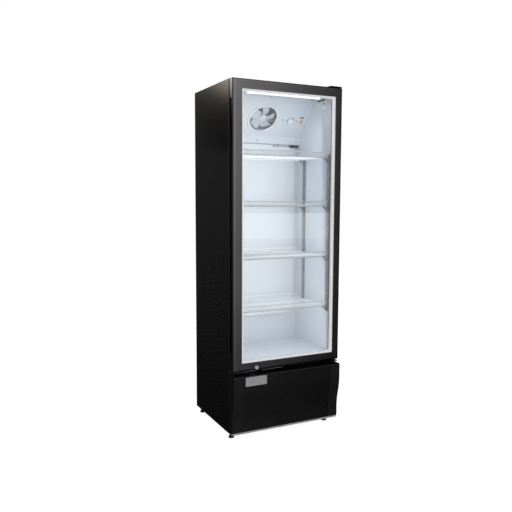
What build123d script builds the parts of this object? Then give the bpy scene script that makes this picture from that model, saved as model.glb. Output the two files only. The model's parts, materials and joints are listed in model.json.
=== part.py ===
"""Upright glass door merchandiser: a fan-cooled display cabinet with one swinging glass door.

Millimetres. +Z is up and the door faces -Y. The origin is on the floor at the centre of the
footprint: X is symmetric about the cabinet, Y runs from the badge plate to the cabinet back.
Every node is one piece, or a group of like pieces, as it would come apart on a bench.
"""

import os
from math import ceil, hypot

from build123d import *

os.makedirs("parts", exist_ok=True)

# ---------------------------------------------------------------- driving sizes
# Cabinet
width = 620  # across the side panels
depth = 526  # badge plate front to cabinet back
height = 1790  # floor to cabinet top
foot_height = 38  # floor to base tray
base_height = 345  # floor to the underside of the insulated box
sheet = 1.2  # cabinet steel
fold_radius = 2.0  # middle of a fold in the sheet
liner_wall = 1.5
side_insulation = 39  # outer face to liner face, sheet and liner included
top_insulation = 35
floor_insulation = 59
interior_depth = 355  # cabinet front to liner back
back_insulation = 61  # liner face to foam back
breaker_width = 7  # plastic strip between the steel flange and the liner

# Door
door_thickness = 39
seal_gap = 10  # door back to cabinet front
seal_clearance = 0.3  # gasket to cabinet
door_lift = 18  # door bottom above the base
door_top_gap = 2  # door top below the cabinet top
left_stile_width = 48
right_stile_width = 42
top_rail_width = 48
bottom_rail_width = 43
frame_corner = 12  # rounded outer edge of the frame
frame_wall = 2.0
glazing_lip = 4.0
glazing_depth = 13  # pocket into the frame
glazing_bite = 11  # glass into the frame
glass = 4.0
glass_air_gap = 16
spacer_reveal = 9  # spacer seen inside the frame
pull_width = 20  # finger groove in the left stile, front to back
pull_depth = 16
pull_back_wall = 2.0
gasket_width = 11

# Hinge
pivot_inset = 20  # hinge axis from the door's right and front faces
pin_radius = 4.0
bush_radius = 7.5
bush_length = 25
running_clearance = 0.05
hinge_plate = 4.0
rod_radius = 2.5

# Lock
lock_from_left = 130  # to the door's left edge
lock_up = 14  # above the door bottom
lock_barrel_radius = 8
lock_plug_radius = 5.5
cam_length = 26
cam_width = 10
cam_plate = 2.0
lock_bezel = 2.5  # proud of the door front

# Kick panel
kick_proud = 12.5  # ahead of the door front
badge_proud = 0.5  # ahead of the kick panel
kick_top_gap = 3  # under the insulated box
kick_bottom_gap = 12  # above the underside of the base tray
kick_wall = 3.0
kick_cap_width = 57
kick_seam = 1.0
kick_set_back = 22  # the S-curve's step
curve_start = 67  # S-curve below the panel top
curve_end = 45  # S-curve above the panel bottom
kick_edge_radius = 4.0
badge_width = 118
badge_height = 46
badge_plate_wall = 1.5
badge_inset = 6  # from the panel's left end and top

# Evaporator cover
cover_wall = 2.5
cover_set_back = 146  # top of the slope behind the cabinet front
cover_rise = 2  # top of the slope's line above the ceiling
cover_slope_run = 177
cover_slope_drop = 190
cover_skirt = 43  # upright face under the slope
cover_flange = 34
cover_side_gap = 0.5
fan_down_slope = 150
fan_opening_radius = 76
fan_ring_radius = 91
fan_ring_height = 4.0
evaporator_fan_radius = 71
fan_motor_depth = 24  # motor front behind the cover face
fan_motor_length = 16
fan_motor_radius = 27
wheel_depth = 10  # middle of the wheel behind the cover face
spider_radius = 84
dial_from_wall = 105
dial_down_slope = 151
dial_radius = 17
dial_height = 13
switch_from_wall = 35
switch_down_slope = 152
switch_width = 17
switch_length = 29
rocker_tilt = 8

# Light bar
light_end_gap = 61  # light bar end to the side wall
light_width = 20
light_set_back = 14  # middle of the bar behind the cabinet front
light_channel_depth = 10
lens_radius = 9.0
lens_wall = 1.5

# Rear duct panel
duct_depth = 14
duct_side_gap = 23
duct_above_floor = 154
duct_gap = 2  # duct top to evaporator cover
air_slots = 5
air_slot_pitch = 24.5
air_slot_length = 17
air_slot_width = 7
air_slots_from_wall = 157  # first slot to the right wall

# Shelves
shelf_count = 4
lowest_shelf = 248  # above the floor
slot_pitch = 12.7
shelf_side_gap = 9
shelf_set_back = 7  # shelf front behind the cabinet front
shelf_duct_gap = 25
fence_height = 21
wire_radius = 1.4
shelf_rod_radius = 2.8
shelf_wires = 32
shelf_rods = 4
pilaster_width = 24
pilaster_depth = 6
pilaster_wall = 1.5
pilaster_above_floor = 218
pilaster_cover_gap = 72
pilaster_set_back = 15  # middle of the front pair behind the cabinet front
pilaster_back_gap = 92  # middle of the back pair to the liner back
clip_reach = 27
clip_height = 27
clip_strip = 2.2
clip_width = 14
support_gap = 0.3

# Base
tray_sheet = 2.0
tray_ahead = 35.5  # base tray ahead of the cabinet front
foot_side_inset = 30
foot_front_inset = 41  # behind the cabinet front
foot_back_inset = 19
foot_pad_radius = 14
foot_stem_radius = 5

# Refrigeration
compressor_from_left = 205
compressor_from_back = 143
compressor_radius = 75
compressor_height = 165
pipe_stub = 8  # compressor stubs outside the shell
grommet_height = 12
condenser_side_gap = 48
condenser_width = 232
condenser_set_back = 16  # behind the cabinet front
condenser_rows = 8
condenser_pitch = 26
condenser_above_tray = 36
condenser_fan_radius = 80
condenser_tip_gap = 5
evaporator_left_gap = 39
evaporator_right_gap = 91
evaporator_rows = 4
evaporator_pitch = 19
evaporator_back_gap = 14  # rearmost tubes to the liner back
evaporator_ceiling_gap = 14  # top tubes to the ceiling
evaporator_row_spread = 24
coil_tube_radius = 4.8
coil_end = 6  # straight tube outside the last fin
fin_wall = 1.0
drip_sheet = 1.6
drip_depth = 25
suction_radius = 5.0
liquid_radius = 3.2
discharge_radius = 4.0
drain_radius = 7.0
hole_clearance = 0.5

# ---------------------------------------------------------------- derived places
half_width = width / 2
door_bottom = base_height + door_lift
front_y = -depth / 2
back_y = depth / 2
kick_front = front_y + badge_proud
door_front = kick_front + kick_proud
door_back = door_front + door_thickness
cabinet_front = door_back + seal_gap
interior_half = half_width - side_insulation
interior_back = cabinet_front + interior_depth
floor_z = base_height + floor_insulation
ceiling_z = height - top_insulation
foam_back = interior_back + back_insulation
seal_edge = interior_half + breaker_width
door_top = height - door_top_gap
glass_front = door_front + glazing_lip
glass_left = -half_width + left_stile_width - glazing_bite
glass_right = half_width - right_stile_width + glazing_bite
glass_low = door_bottom + bottom_rail_width - glazing_bite
glass_high = door_top - top_rail_width + glazing_bite
pivot_x = half_width - pivot_inset
pivot_y = door_front + pivot_inset
kick_back = cabinet_front - 0.6
kick_top = base_height - kick_top_gap
kick_bottom = foot_height + kick_bottom_gap
kick_half = half_width - kick_cap_width
curve_top = kick_top - curve_start
curve_bottom = kick_bottom + curve_end
lock_x = lock_from_left - half_width
lock_z = door_bottom + lock_up
tray_front = cabinet_front - tray_ahead
tray_half = half_width - sheet - 0.3
tray_top = foot_height + tray_sheet
panel_y = back_y - 2 * sheet  # outer panels fixed inside the rear flanges
channel_y = (foam_back + sheet + panel_y) / 2
cover_top_y = cabinet_front + cover_set_back
cover_top_z = ceiling_z + cover_rise
cover_face_y = cover_top_y + cover_slope_run
cover_bottom = cover_top_z - cover_slope_drop - cover_skirt
cover_plane = Plane(
    origin=(0, cover_top_y, cover_top_z),
    x_dir=(1, 0, 0),
    z_dir=(0, -cover_slope_drop, -cover_slope_run),
)
duct_face_y = interior_back - duct_depth
duct_half_width = interior_half - duct_side_gap
shelf_half_width = interior_half - shelf_side_gap
shelf_front = cabinet_front + shelf_set_back
shelf_back = duct_face_y - shelf_duct_gap
shelf_base = floor_z + lowest_shelf
pilaster_bottom = floor_z + pilaster_above_floor
pilaster_top = cover_bottom - pilaster_cover_gap
pilaster_front_y = cabinet_front + pilaster_set_back
pilaster_back_y = interior_back - pilaster_back_gap
top_slot = int((pilaster_top - slot_pitch / 2 - shelf_base) / slot_pitch)
shelf_levels = [
    shelf_base + slot_pitch * ceil(index * top_slot / (shelf_count - 1)) for index in range(shelf_count)
]
rod_drop = wire_radius + shelf_rod_radius - 0.5  # rods welded half a millimetre into the wires
clip_top = shelf_rod_radius + rod_drop + support_gap  # below a shelf's level

evaporator_left = evaporator_left_gap - interior_half
evaporator_right = interior_half - evaporator_right_gap
evaporator_rows_y = (
    interior_back - evaporator_back_gap - evaporator_row_spread,
    interior_back - evaporator_back_gap,
)
evaporator_rows_z = [
    ceiling_z - evaporator_ceiling_gap - evaporator_pitch * row for row in reversed(range(evaporator_rows))
]
coil_margin = coil_tube_radius + 7.2  # fins past the outer tubes
drip_top = evaporator_rows_z[0] - coil_margin - 5
drip_floor = drip_top - drip_depth
suction_hole = (evaporator_right + 35, evaporator_rows_z[0])
liquid_hole = (evaporator_right + 62, evaporator_rows_z[0])
drain_hole = (21 - interior_half, drip_floor + 10)


# ---------------------------------------------------------------- helpers
def write(part, node):
    """Label a finished piece and write its STEP file."""
    part.label = node
    export_step(part, f"parts/{node}.step")


def block(low, high, mode=Mode.ADD):
    """A box in the open part from its lowest corner to its highest."""
    with Locations(tuple((a + b) / 2 for a, b in zip(low, high))):
        Box(*[b - a for a, b in zip(low, high)], mode=mode)


def rod(start, end, radius, mode=Mode.ADD):
    """A straight round bar, or a hole, in the open part."""
    run = Vector(*end) - Vector(*start)
    with Locations(Plane(origin=start, z_dir=run)):
        Cylinder(radius, run.length, align=(Align.CENTER, Align.CENTER, Align.MIN), mode=mode)


def bent_sheet(points, thickness=sheet):
    """Section of folded sheet: a ribbon centred on the path, each fold rounded."""
    with BuildLine() as path:
        FilletPolyline(*points, radius=fold_radius)
    trace(path.line, line_width=thickness)


def ring(front, back, low, high, opening_low, opening_high):
    """A flat frame across the doorway, corners in X and Z, with a rectangular opening."""
    with BuildSketch(Plane.XZ.offset(-front)) as face:
        for corners, mode in (((low, high), Mode.ADD), ((opening_low, opening_high), Mode.SUBTRACT)):
            (left, bottom), (right, top) = corners
            with Locations(((left + right) / 2, (bottom + top) / 2)):
                Rectangle(right - left, top - bottom, mode=mode)
    extrude(face.sketch, amount=front - back)


def tube(points, bend, radius):
    """A bent pipe, solid, along straight runs joined by arcs."""
    with BuildLine() as route:
        FilletPolyline(*points, radius=bend)
    with BuildSketch(Plane(origin=route.line @ 0, z_dir=route.line % 0)) as bore:
        Circle(radius)
    sweep(bore.sketch, path=route.line)


def finned_coil(left, right, rows_y, rows_z, fin_pitch):
    """One bent tube through thin fins: up the front row of runs along X, then down the back row.

    Both ends of the tube are at the bottom on the right; there is an even number of runs in a row.
    """
    bend = (rows_z[1] - rows_z[0]) / 2 - 0.5
    left_turn = left - coil_end - bend
    right_turn = right + coil_end + bend
    route = []
    for row_y, levels in zip(rows_y, (rows_z, rows_z[::-1])):
        for index, row_z in enumerate(levels):
            turns = (left_turn, right_turn) if index % 2 else (right_turn, left_turn)
            route += [(turn_x, row_y, row_z) for turn_x in turns]
    route[0] = (right + coil_end, rows_y[0], rows_z[0])
    route[-1] = (right + coil_end, rows_y[1], rows_z[0])
    tube(route, bend, coil_tube_radius)
    middle = [(rows[0] + rows[-1]) / 2 for rows in ((left, right), rows_y, rows_z)]
    with Locations(tuple(middle)):
        with GridLocations(fin_pitch, 0, int((right - left) / fin_pitch), 1):
            Box(
                fin_wall,
                rows_y[-1] - rows_y[0] + 2 * coil_margin,
                rows_z[-1] - rows_z[0] + 2 * coil_margin,
            )


def fan_wheel(centre, radius, hub_radius, hub_length, blade_width, blade_pitch, blades):
    """Hub and flat pitched blades about the centre plane's normal, tips cut to the radius."""
    with Locations(centre):
        Cylinder(hub_radius, hub_length)
        with PolarLocations((hub_radius + radius) / 2, blades):
            Box(radius - hub_radius + 6, blade_width, 1.6, rotation=(blade_pitch, 0, 0))
        Cylinder(radius, blade_width, mode=Mode.INTERSECT)


# ---------------------------------------------------------------- outer cabinet
for side, node in ((-1, "left_side_panel"), (1, "right_side_panel")):
    with BuildPart() as side_panel:
        with BuildSketch(Plane.XY.offset(foot_height)):
            bent_sheet([
                (side * seal_edge, cabinet_front + sheet / 2),
                (side * (half_width - sheet / 2), cabinet_front + sheet / 2),
                (side * (half_width - sheet / 2), back_y - sheet / 2),
                (side * seal_edge, back_y - sheet / 2),
            ])
        extrude(amount=height - sheet - foot_height)
    write(side_panel.part, node)

with BuildPart() as top_panel:
    with BuildSketch(Plane.YZ.offset(-seal_edge)):
        bent_sheet([
            (cabinet_front + sheet / 2, ceiling_z + breaker_width),
            (cabinet_front + sheet / 2, height - sheet / 2),
            (back_y - sheet / 2, height - sheet / 2),
            (back_y - sheet / 2, ceiling_z + breaker_width),
        ])
    extrude(amount=2 * seal_edge)
    for low_x, high_x in ((-half_width, -seal_edge), (seal_edge, half_width)):
        block((low_x, cabinet_front, height - sheet), (high_x, back_y, height))
write(top_panel.part, "top_panel")

# Galvanised pan folded up the front, under the foam and up its back.
with BuildPart() as foam_pan:
    with BuildSketch(Plane.YZ.offset(-seal_edge)):
        bent_sheet([
            (cabinet_front + sheet / 2, floor_z - breaker_width),
            (cabinet_front + sheet / 2, base_height + sheet / 2),
            (foam_back + sheet / 2, base_height + sheet / 2),
            (foam_back + sheet / 2, height - sheet),
        ])
    extrude(amount=2 * seal_edge)
    for low_x, high_x in ((-half_width + sheet, -seal_edge), (seal_edge, half_width - sheet)):
        block(
            (low_x, cabinet_front + sheet + fold_radius, base_height),
            (high_x, foam_back, base_height + sheet),
        )
        block((low_x, foam_back, base_height), (high_x, foam_back + sheet, height - sheet))

wall_holes = (
    (suction_hole, suction_radius + hole_clearance),
    (liquid_hole, liquid_radius + hole_clearance),
    (drain_hole, drain_radius + hole_clearance),
)


def cut_wall_holes():
    """Holes for the two refrigerant lines and the drain hose through the back wall."""
    for (hole_x, hole_z), radius in wall_holes:
        start = (hole_x, interior_back - 1, hole_z)
        rod(start, (hole_x, foam_back + 2 * sheet, hole_z), radius, Mode.SUBTRACT)


with foam_pan:
    cut_wall_holes()
write(foam_pan.part, "foam_pan")

liner_low = (-interior_half - liner_wall, cabinet_front + sheet, floor_z - liner_wall)
liner_high = (interior_half + liner_wall, interior_back + liner_wall, ceiling_z + liner_wall)

with BuildPart() as insulation_foam:
    block(
        (-half_width + sheet, cabinet_front + sheet, base_height + sheet),
        (half_width - sheet, foam_back, height - sheet),
    )
    fillet(insulation_foam.faces().sort_by(Axis.Y)[0].edges(), fold_radius)
    lengthwise = insulation_foam.edges().filter_by(Axis.X)
    fillet(lengthwise.sort_by_distance((0, foam_back, base_height))[0], fold_radius)
    block(liner_low, liner_high, Mode.SUBTRACT)
    cut_wall_holes()
write(insulation_foam.part, "insulation_foam")

with BuildPart() as inner_liner:
    block(liner_low, liner_high)
    block(
        (-interior_half, cabinet_front, floor_z),
        (interior_half, interior_back, ceiling_z),
        Mode.SUBTRACT,
    )
    cut_wall_holes()
write(inner_liner.part, "inner_liner")

with BuildPart() as breaker_frame:
    ring(
        cabinet_front,
        cabinet_front + sheet,
        (-seal_edge, floor_z - breaker_width),
        (seal_edge, ceiling_z + breaker_width),
        (-interior_half, floor_z),
        (interior_half, ceiling_z),
    )
write(breaker_frame.part, "breaker_frame")

rib_shares = (0.18, 0.48, 0.79)  # of the back panel's height
rib_inset = 30
rib_depth = 4
rib_width = 26
with BuildPart() as back_panel:
    block(
        (-half_width + 3 * sheet, panel_y, base_height + sheet),
        (half_width - 3 * sheet, panel_y + sheet, height - 4 * sheet),
    )
    for share in rib_shares:
        rib_z = base_height + share * (height - base_height)
        block(
            (rib_inset - seal_edge, panel_y - rib_depth, rib_z),
            (seal_edge - rib_inset, panel_y, rib_z + rib_width),
        )
write(back_panel.part, "back_panel")

gland_x = 80 - half_width
gland_z = foot_height + 54
gland_hole_radius = 11
grille_columns = 3
grille_rows = 11
grille_pitch = 2 * (half_width - 40) / grille_columns
grille_row_pitch = 17
grille_bar = 30  # between two columns of slots
grille_slot = 8
with BuildPart() as rear_grille:
    block(
        (-half_width + 3 * sheet, panel_y, foot_height + 6),
        (half_width - 3 * sheet, panel_y + sheet, base_height - 1),
    )
    grille_z = (foot_height + base_height) / 2 + 22
    with BuildSketch(Plane(origin=(0, panel_y, grille_z), x_dir=(1, 0, 0), z_dir=(0, -1, 0))):
        with GridLocations(grille_pitch, grille_row_pitch, grille_columns, grille_rows):
            SlotOverall(grille_pitch - grille_bar, grille_slot)
    extrude(amount=5, both=True, mode=Mode.SUBTRACT)
    rod((gland_x, panel_y - 1, gland_z), (gland_x, panel_y + 3, gland_z), gland_hole_radius, Mode.SUBTRACT)
write(rear_grille.part, "rear_grille")

gland_bore = 4.5
gland_length = 24
with BuildPart() as cord_gland:
    rod((gland_x, panel_y - 12, gland_z), (gland_x, panel_y + sheet, gland_z), gland_hole_radius)
    rod((gland_x, panel_y - 6, gland_z), (gland_x, panel_y, gland_z), gland_hole_radius + 4)
    rod(
        (gland_x, panel_y - gland_length + sheet, gland_z),
        (gland_x, panel_y + sheet, gland_z),
        gland_bore + 3,
    )
    rod(
        (gland_x, panel_y - gland_length, gland_z),
        (gland_x, panel_y + 2 * sheet, gland_z),
        gland_bore,
        Mode.SUBTRACT,
    )
write(cord_gland.part, "cord_gland")

# ---------------------------------------------------------------- base and feet
foot_x = half_width - foot_side_inset
foot_front_y = cabinet_front + foot_front_inset
foot_back_y = back_y - foot_back_inset
foot_places = {
    "front_left": (-foot_x, foot_front_y),
    "front_right": (foot_x, foot_front_y),
    "back_left": (-foot_x, foot_back_y),
    "back_right": (foot_x, foot_back_y),
}
tray_lip = kick_bottom - foot_height - 0.2
tray_back = panel_y - 0.5
with BuildPart() as base_tray:
    with BuildSketch(Plane.YZ.offset(-tray_half)):
        bent_sheet(
            [
                (tray_front + tray_sheet / 2, foot_height + tray_lip),
                (tray_front + tray_sheet / 2, foot_height + tray_sheet / 2),
                (tray_back - tray_sheet / 2, foot_height + tray_sheet / 2),
                (tray_back - tray_sheet / 2, foot_height + tray_lip),
            ],
            tray_sheet,
        )
    extrude(amount=2 * tray_half)
    for low_x, high_x in ((-tray_half, tray_sheet - tray_half), (tray_half - tray_sheet, tray_half)):
        block(
            (low_x, cabinet_front + 10, foot_height + tray_sheet / 2),
            (high_x, tray_back - tray_sheet / 2, foot_height + tray_lip),
        )
    for side in (-1, 1):
        near, far = sorted((side * (seal_edge - 1), side * (half_width + 1)))
        block(
            (near, cabinet_front - 1, foot_height - 1),
            (far, cabinet_front + sheet + 1, foot_height + 20),
            Mode.SUBTRACT,
        )
    for foot_place in foot_places.values():
        rod(
            (*foot_place, foot_height - 1),
            (*foot_place, foot_height + tray_sheet + 1),
            foot_stem_radius + running_clearance,
            Mode.SUBTRACT,
        )
write(base_tray.part, "base_tray")

foot_nut_top = foot_height - 0.5
foot_stem_top = foot_height + 24
for name, (x, y) in foot_places.items():
    with BuildPart() as levelling_foot:
        with BuildSketch(Plane(origin=(x, y, 0), x_dir=(1, 0, 0), z_dir=(0, -1, 0))):
            with BuildLine():
                Polyline(
                    (0, 0),
                    (foot_pad_radius - 1, 0),
                    (foot_pad_radius, 1),
                    (foot_pad_radius, 6),
                    (10, 11),
                    (9, foot_nut_top - 8),
                    (foot_stem_radius, foot_nut_top - 8),
                    (foot_stem_radius, foot_stem_top),
                    (0, foot_stem_top),
                    close=True,
                )
            make_face()
        revolve(axis=Axis((x, y, 0), (0, 0, 1)))
        with BuildSketch(Plane.XY.offset(foot_nut_top - 8)):
            with Locations((x, y)):
                RegularPolygon(10, 6)
        extrude(amount=8)
    write(levelling_foot.part, f"levelling_foot_{name}")


# ---------------------------------------------------------------- kick panel
def kick_section():
    """Closed side outline: upright face, S-curve in two tangent arcs, upright toe."""
    middle = (kick_front + kick_set_back / 2, (curve_top + curve_bottom) / 2)
    toe = kick_front + kick_set_back
    with BuildLine() as outline:
        Polyline(
            (toe, kick_bottom),
            (kick_back, kick_bottom),
            (kick_back, kick_top),
            (kick_front, kick_top),
        )
        Line((kick_front, kick_top), (kick_front, curve_top))
        upper = TangentArc((kick_front, curve_top), middle, tangent=(0, -1))
        TangentArc(middle, (toe, curve_bottom), tangent=upper % 1)
        Line((toe, curve_bottom), (toe, kick_bottom))
    face = make_face(outline.edges())
    top_edge = face.vertices().sort_by_distance((kick_front, kick_top))[0]
    fillet(top_edge, kick_edge_radius)


badge_high_z = kick_top - badge_inset
badge_low = (badge_inset - kick_half, kick_front - badge_proud, badge_high_z - badge_height)
badge_high = (badge_low[0] + badge_width, badge_low[1] + badge_plate_wall, badge_high_z)
with BuildPart() as kick_panel:
    with BuildSketch(Plane.YZ.offset(-kick_half)):
        kick_section()
    extrude(amount=2 * kick_half)
    ends = kick_panel.faces().filter_by(Axis.X)
    rear = kick_panel.faces().sort_by(Axis.Y)[-1]
    offset(amount=-kick_wall, openings=[*ends, rear])
    block(badge_low, badge_high, Mode.SUBTRACT)
write(kick_panel.part, "kick_panel")

with BuildPart() as badge_plate:
    block(badge_low, badge_high)
    fillet(badge_plate.edges().filter_by(Axis.Y), 2)
    fillet(badge_plate.faces().sort_by(Axis.Y)[0].edges(), 0.4)
write(badge_plate.part, "badge_plate")

caps = []
for side in (-1, 1):
    cap_inner = side * (kick_half + kick_seam)
    cap_outer = side * half_width
    with BuildPart() as kick_cap:
        with BuildSketch(Plane.YZ.offset(min(cap_inner, cap_outer))):
            kick_section()
        extrude(amount=abs(cap_outer - cap_inner))
        inward = kick_cap.faces().filter_by(Axis.X).sort_by(Axis.X)[0 if side > 0 else -1]
        rear = kick_cap.faces().sort_by(Axis.Y)[-1]
        offset(amount=-kick_wall, openings=[inward, rear])
    caps.append(kick_cap.part)
with BuildPart() as kick_panel_end_caps:
    add(caps)
write(kick_panel_end_caps.part, "kick_panel_end_caps")

# ---------------------------------------------------------------- compressor compartment
plate_base = tray_top + grommet_height
plate_wall = 3.0
grommet_spread = (150, 110)
compressor_x = compressor_from_left - half_width
compressor_y = back_y - compressor_from_back
stub_z = plate_base + plate_wall + 40
stub_end = compressor_radius + pipe_stub
shell_base = Plane(
    origin=(compressor_x, compressor_y, plate_base + plate_wall),
    x_dir=(1, 0, 0),
    z_dir=(0, -1, 0),
)
with BuildPart() as compressor:
    block(
        (compressor_x - 92, compressor_y - 72, plate_base),
        (compressor_x + 92, compressor_y + 72, plate_base + plate_wall),
    )
    with BuildSketch(shell_base):
        with BuildLine():
            Line((0, 0), (compressor_radius - 22, 0))
            JernArc((compressor_radius - 22, 0), (1, 0), 22, 90)
            Line((compressor_radius, 22), (compressor_radius, 74))
            Polyline(
                (compressor_radius, 74),
                (compressor_radius + 4, 74),
                (compressor_radius + 4, 79),
                (compressor_radius, 79),
                (compressor_radius, compressor_height - 45),
            )
            JernArc((compressor_radius, compressor_height - 45), (0, 1), 45, 90)
            Polyline((compressor_radius - 45, compressor_height), (0, compressor_height), (0, 0))
        make_face()
    revolve(axis=Axis((compressor_x, compressor_y, 0), (0, 0, 1)))
    block(
        (compressor_x - 26, compressor_y - compressor_radius - 26, plate_base + 40),
        (compressor_x + 26, compressor_y - compressor_radius + 14, plate_base + 100),
    )
    middle = (compressor_x, compressor_y, stub_z)
    rod(middle, (compressor_x, compressor_y + stub_end, stub_z), suction_radius + 1.5)
    rod(middle, (compressor_x + stub_end, compressor_y, stub_z), discharge_radius + 1.5)
    with Locations((compressor_x, compressor_y, plate_base + plate_wall / 2)):
        with GridLocations(*grommet_spread, 2, 2):
            Cylinder(6, plate_wall * 2, mode=Mode.SUBTRACT)
write(compressor.part, "compressor")

with BuildPart() as compressor_grommets:
    with Locations((compressor_x, compressor_y, tray_top)):
        with GridLocations(*grommet_spread, 2, 2):
            Cylinder(10, grommet_height, align=(Align.CENTER, Align.CENTER, Align.MIN))
            Cylinder(5.9, grommet_height + plate_wall + 3, align=(Align.CENTER, Align.CENTER, Align.MIN))
write(compressor_grommets.part, "compressor_grommets")

condenser_right = half_width - condenser_side_gap
condenser_left = condenser_right - condenser_width
condenser_front = cabinet_front + condenser_set_back
condenser_rows_y = (
    condenser_front + coil_margin,
    condenser_front + coil_margin + condenser_pitch,
)
condenser_rows_z = [tray_top + condenser_above_tray + condenser_pitch * row for row in range(condenser_rows)]
with BuildPart() as condenser_coil:
    finned_coil(condenser_left, condenser_right, condenser_rows_y, condenser_rows_z, 10)
write(condenser_coil.part, "condenser_coil")

coil_middle_x = (condenser_left + condenser_right) / 2
coil_middle_z = (condenser_rows_z[0] + condenser_rows_z[-1]) / 2
shroud_y = condenser_rows_y[-1] + coil_margin
shroud_wall = 2.0
shroud_length = 46
shroud_inner = condenser_fan_radius + condenser_tip_gap
coil_low_z = condenser_rows_z[0] - coil_margin
coil_high_z = condenser_rows_z[-1] + coil_margin
shroud_half_height = shroud_inner + shroud_wall + 4
with BuildPart() as condenser_shroud:
    block(
        (condenser_left - 2, shroud_y, min(coil_low_z, coil_middle_z - shroud_half_height)),
        (condenser_right + 2, shroud_y + shroud_wall, max(coil_high_z, coil_middle_z + shroud_half_height)),
    )
    rod(
        (coil_middle_x, shroud_y, coil_middle_z),
        (coil_middle_x, shroud_y + shroud_length, coil_middle_z),
        shroud_inner + shroud_wall,
    )
    rod(
        (coil_middle_x, shroud_y - 1, coil_middle_z),
        (coil_middle_x, shroud_y + shroud_length + 1, coil_middle_z),
        shroud_inner,
        Mode.SUBTRACT,
    )
write(condenser_shroud.part, "condenser_shroud")

motor_y = shroud_y + shroud_length
fan_shaft_radius = 3.0
fan_shaft_depth = 14
condenser_fan_y = shroud_y + 20
with BuildPart() as condenser_fan_motor:
    motor_front = (coil_middle_x, motor_y + 1.5, coil_middle_z)
    with Locations(Plane(origin=motor_front, z_dir=(0, 1, 0), x_dir=(1, 0, 0))):
        for turn in (45, 135):
            Box(2 * (shroud_inner + shroud_wall), 14, 3, rotation=(0, 0, turn))
        Cylinder(38, 44, align=(Align.CENTER, Align.CENTER, Align.MIN))
    rod(
        (coil_middle_x, motor_y - 1, coil_middle_z),
        (coil_middle_x, motor_y + fan_shaft_depth + 2, coil_middle_z),
        fan_shaft_radius + running_clearance,
        Mode.SUBTRACT,
    )
write(condenser_fan_motor.part, "condenser_fan_motor")

with BuildPart() as condenser_fan:
    fan_wheel(
        Plane(origin=(coil_middle_x, condenser_fan_y, coil_middle_z), z_dir=(0, 1, 0), x_dir=(1, 0, 0)),
        condenser_fan_radius,
        hub_radius=18,
        hub_length=24,
        blade_width=44,
        blade_pitch=28,
        blades=5,
    )
    rod(
        (coil_middle_x, condenser_fan_y, coil_middle_z),
        (coil_middle_x, motor_y + fan_shaft_depth, coil_middle_z),
        fan_shaft_radius,
    )
write(condenser_fan.part, "condenser_fan")

basin_low = (10 - half_width, cabinet_front + 141, tray_top)
basin_high = (basin_low[0] + 86, back_y - 41, tray_top + 34)
basin_wall = 2.0
with BuildPart() as condensate_tray:
    block(basin_low, basin_high)
    block(
        (basin_low[0] + basin_wall, basin_low[1] + basin_wall, basin_low[2] + basin_wall),
        (basin_high[0] - basin_wall, basin_high[1] - basin_wall, basin_high[2] + 1),
        Mode.SUBTRACT,
    )
write(condensate_tray.part, "condensate_tray")

with BuildPart() as electrical_box:
    block(
        (condenser_left - 220, cabinet_front + 21, tray_top),
        (condenser_left - 90, cabinet_front + 131, tray_top + 90),
    )
    fillet(electrical_box.edges().filter_by(Axis.Z), 5)
write(electrical_box.part, "electrical_box")

# ---------------------------------------------------------------- evaporator chamber
with BuildPart() as evaporator_coil:
    finned_coil(evaporator_left, evaporator_right, evaporator_rows_y, evaporator_rows_z, 8)
write(evaporator_coil.part, "evaporator_coil")

drip_left = 9 - interior_half
drip_right = evaporator_right + 12
drip_back = interior_back - 0.2 - drip_sheet / 2
drip_front = evaporator_rows_y[0] - coil_margin
drip_section = (
    (drip_front - 2, drip_top),
    (drip_front + 8, drip_floor),
    (drip_back, drip_floor),
    (drip_back, drip_top),
)
with BuildPart() as evaporator_drip_tray:
    with BuildSketch(Plane.YZ.offset(drip_left)):
        bent_sheet(drip_section, drip_sheet)
    extrude(amount=drip_right - drip_left)
    for end_x in (drip_left, drip_right - drip_sheet):
        with BuildSketch(Plane.YZ.offset(end_x)):
            with BuildLine():
                Polyline(*drip_section, close=True)
            make_face()
        extrude(amount=drip_sheet)
    rod(
        (drain_hole[0], drip_back - drip_sheet, drain_hole[1]),
        (drain_hole[0], drip_back + drip_sheet, drain_hole[1]),
        drain_radius - 1,
        Mode.SUBTRACT,
    )
write(evaporator_drip_tray.part, "evaporator_drip_tray")

dial_x = interior_half - dial_from_wall
switch_x = interior_half - switch_from_wall
fan_place = cover_plane * Pos(0, -fan_down_slope, 0)
dial_place = cover_plane * Pos(dial_x, -dial_down_slope, 0)
switch_place = cover_plane * Pos(switch_x, -switch_down_slope, 0)
with BuildPart() as evaporator_cover:
    with BuildSketch(Plane.YZ.offset(cover_side_gap - interior_half)):
        flange_z = ceiling_z - cover_wall
        corner_y = cover_top_y + (cover_top_z - flange_z) * cover_slope_run / cover_slope_drop
        with BuildLine():
            FilletPolyline(
                (corner_y - cover_flange, flange_z),
                (corner_y, flange_z),
                (cover_face_y, cover_top_z - cover_slope_drop),
                (cover_face_y, cover_bottom),
                (interior_back, cover_bottom),
                radius=3,
            )
            offset(amount=cover_wall, side=Side.LEFT)
        make_face()
    extrude(amount=2 * (interior_half - cover_side_gap))
    with Locations(fan_place):
        with Locations((0, 0, -cover_wall)):
            Cylinder(
                fan_ring_radius,
                cover_wall + fan_ring_height,
                align=(Align.CENTER, Align.CENTER, Align.MIN),
            )
        Cylinder(fan_opening_radius, 30, mode=Mode.SUBTRACT)
    fan_front = Plane(fan_place * Pos(0, 0, fan_ring_height))
    ring_face = evaporator_cover.faces().sort_by_distance(fan_front.origin)[0]
    fillet(ring_face.edges(), fan_ring_height - 0.8)
    with Locations(dial_place):
        Cylinder(5, 30, mode=Mode.SUBTRACT)
    with Locations(switch_place):
        Box(switch_width - 2, switch_length - 2, 30, mode=Mode.SUBTRACT)
write(evaporator_cover.part, "evaporator_cover")

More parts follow.
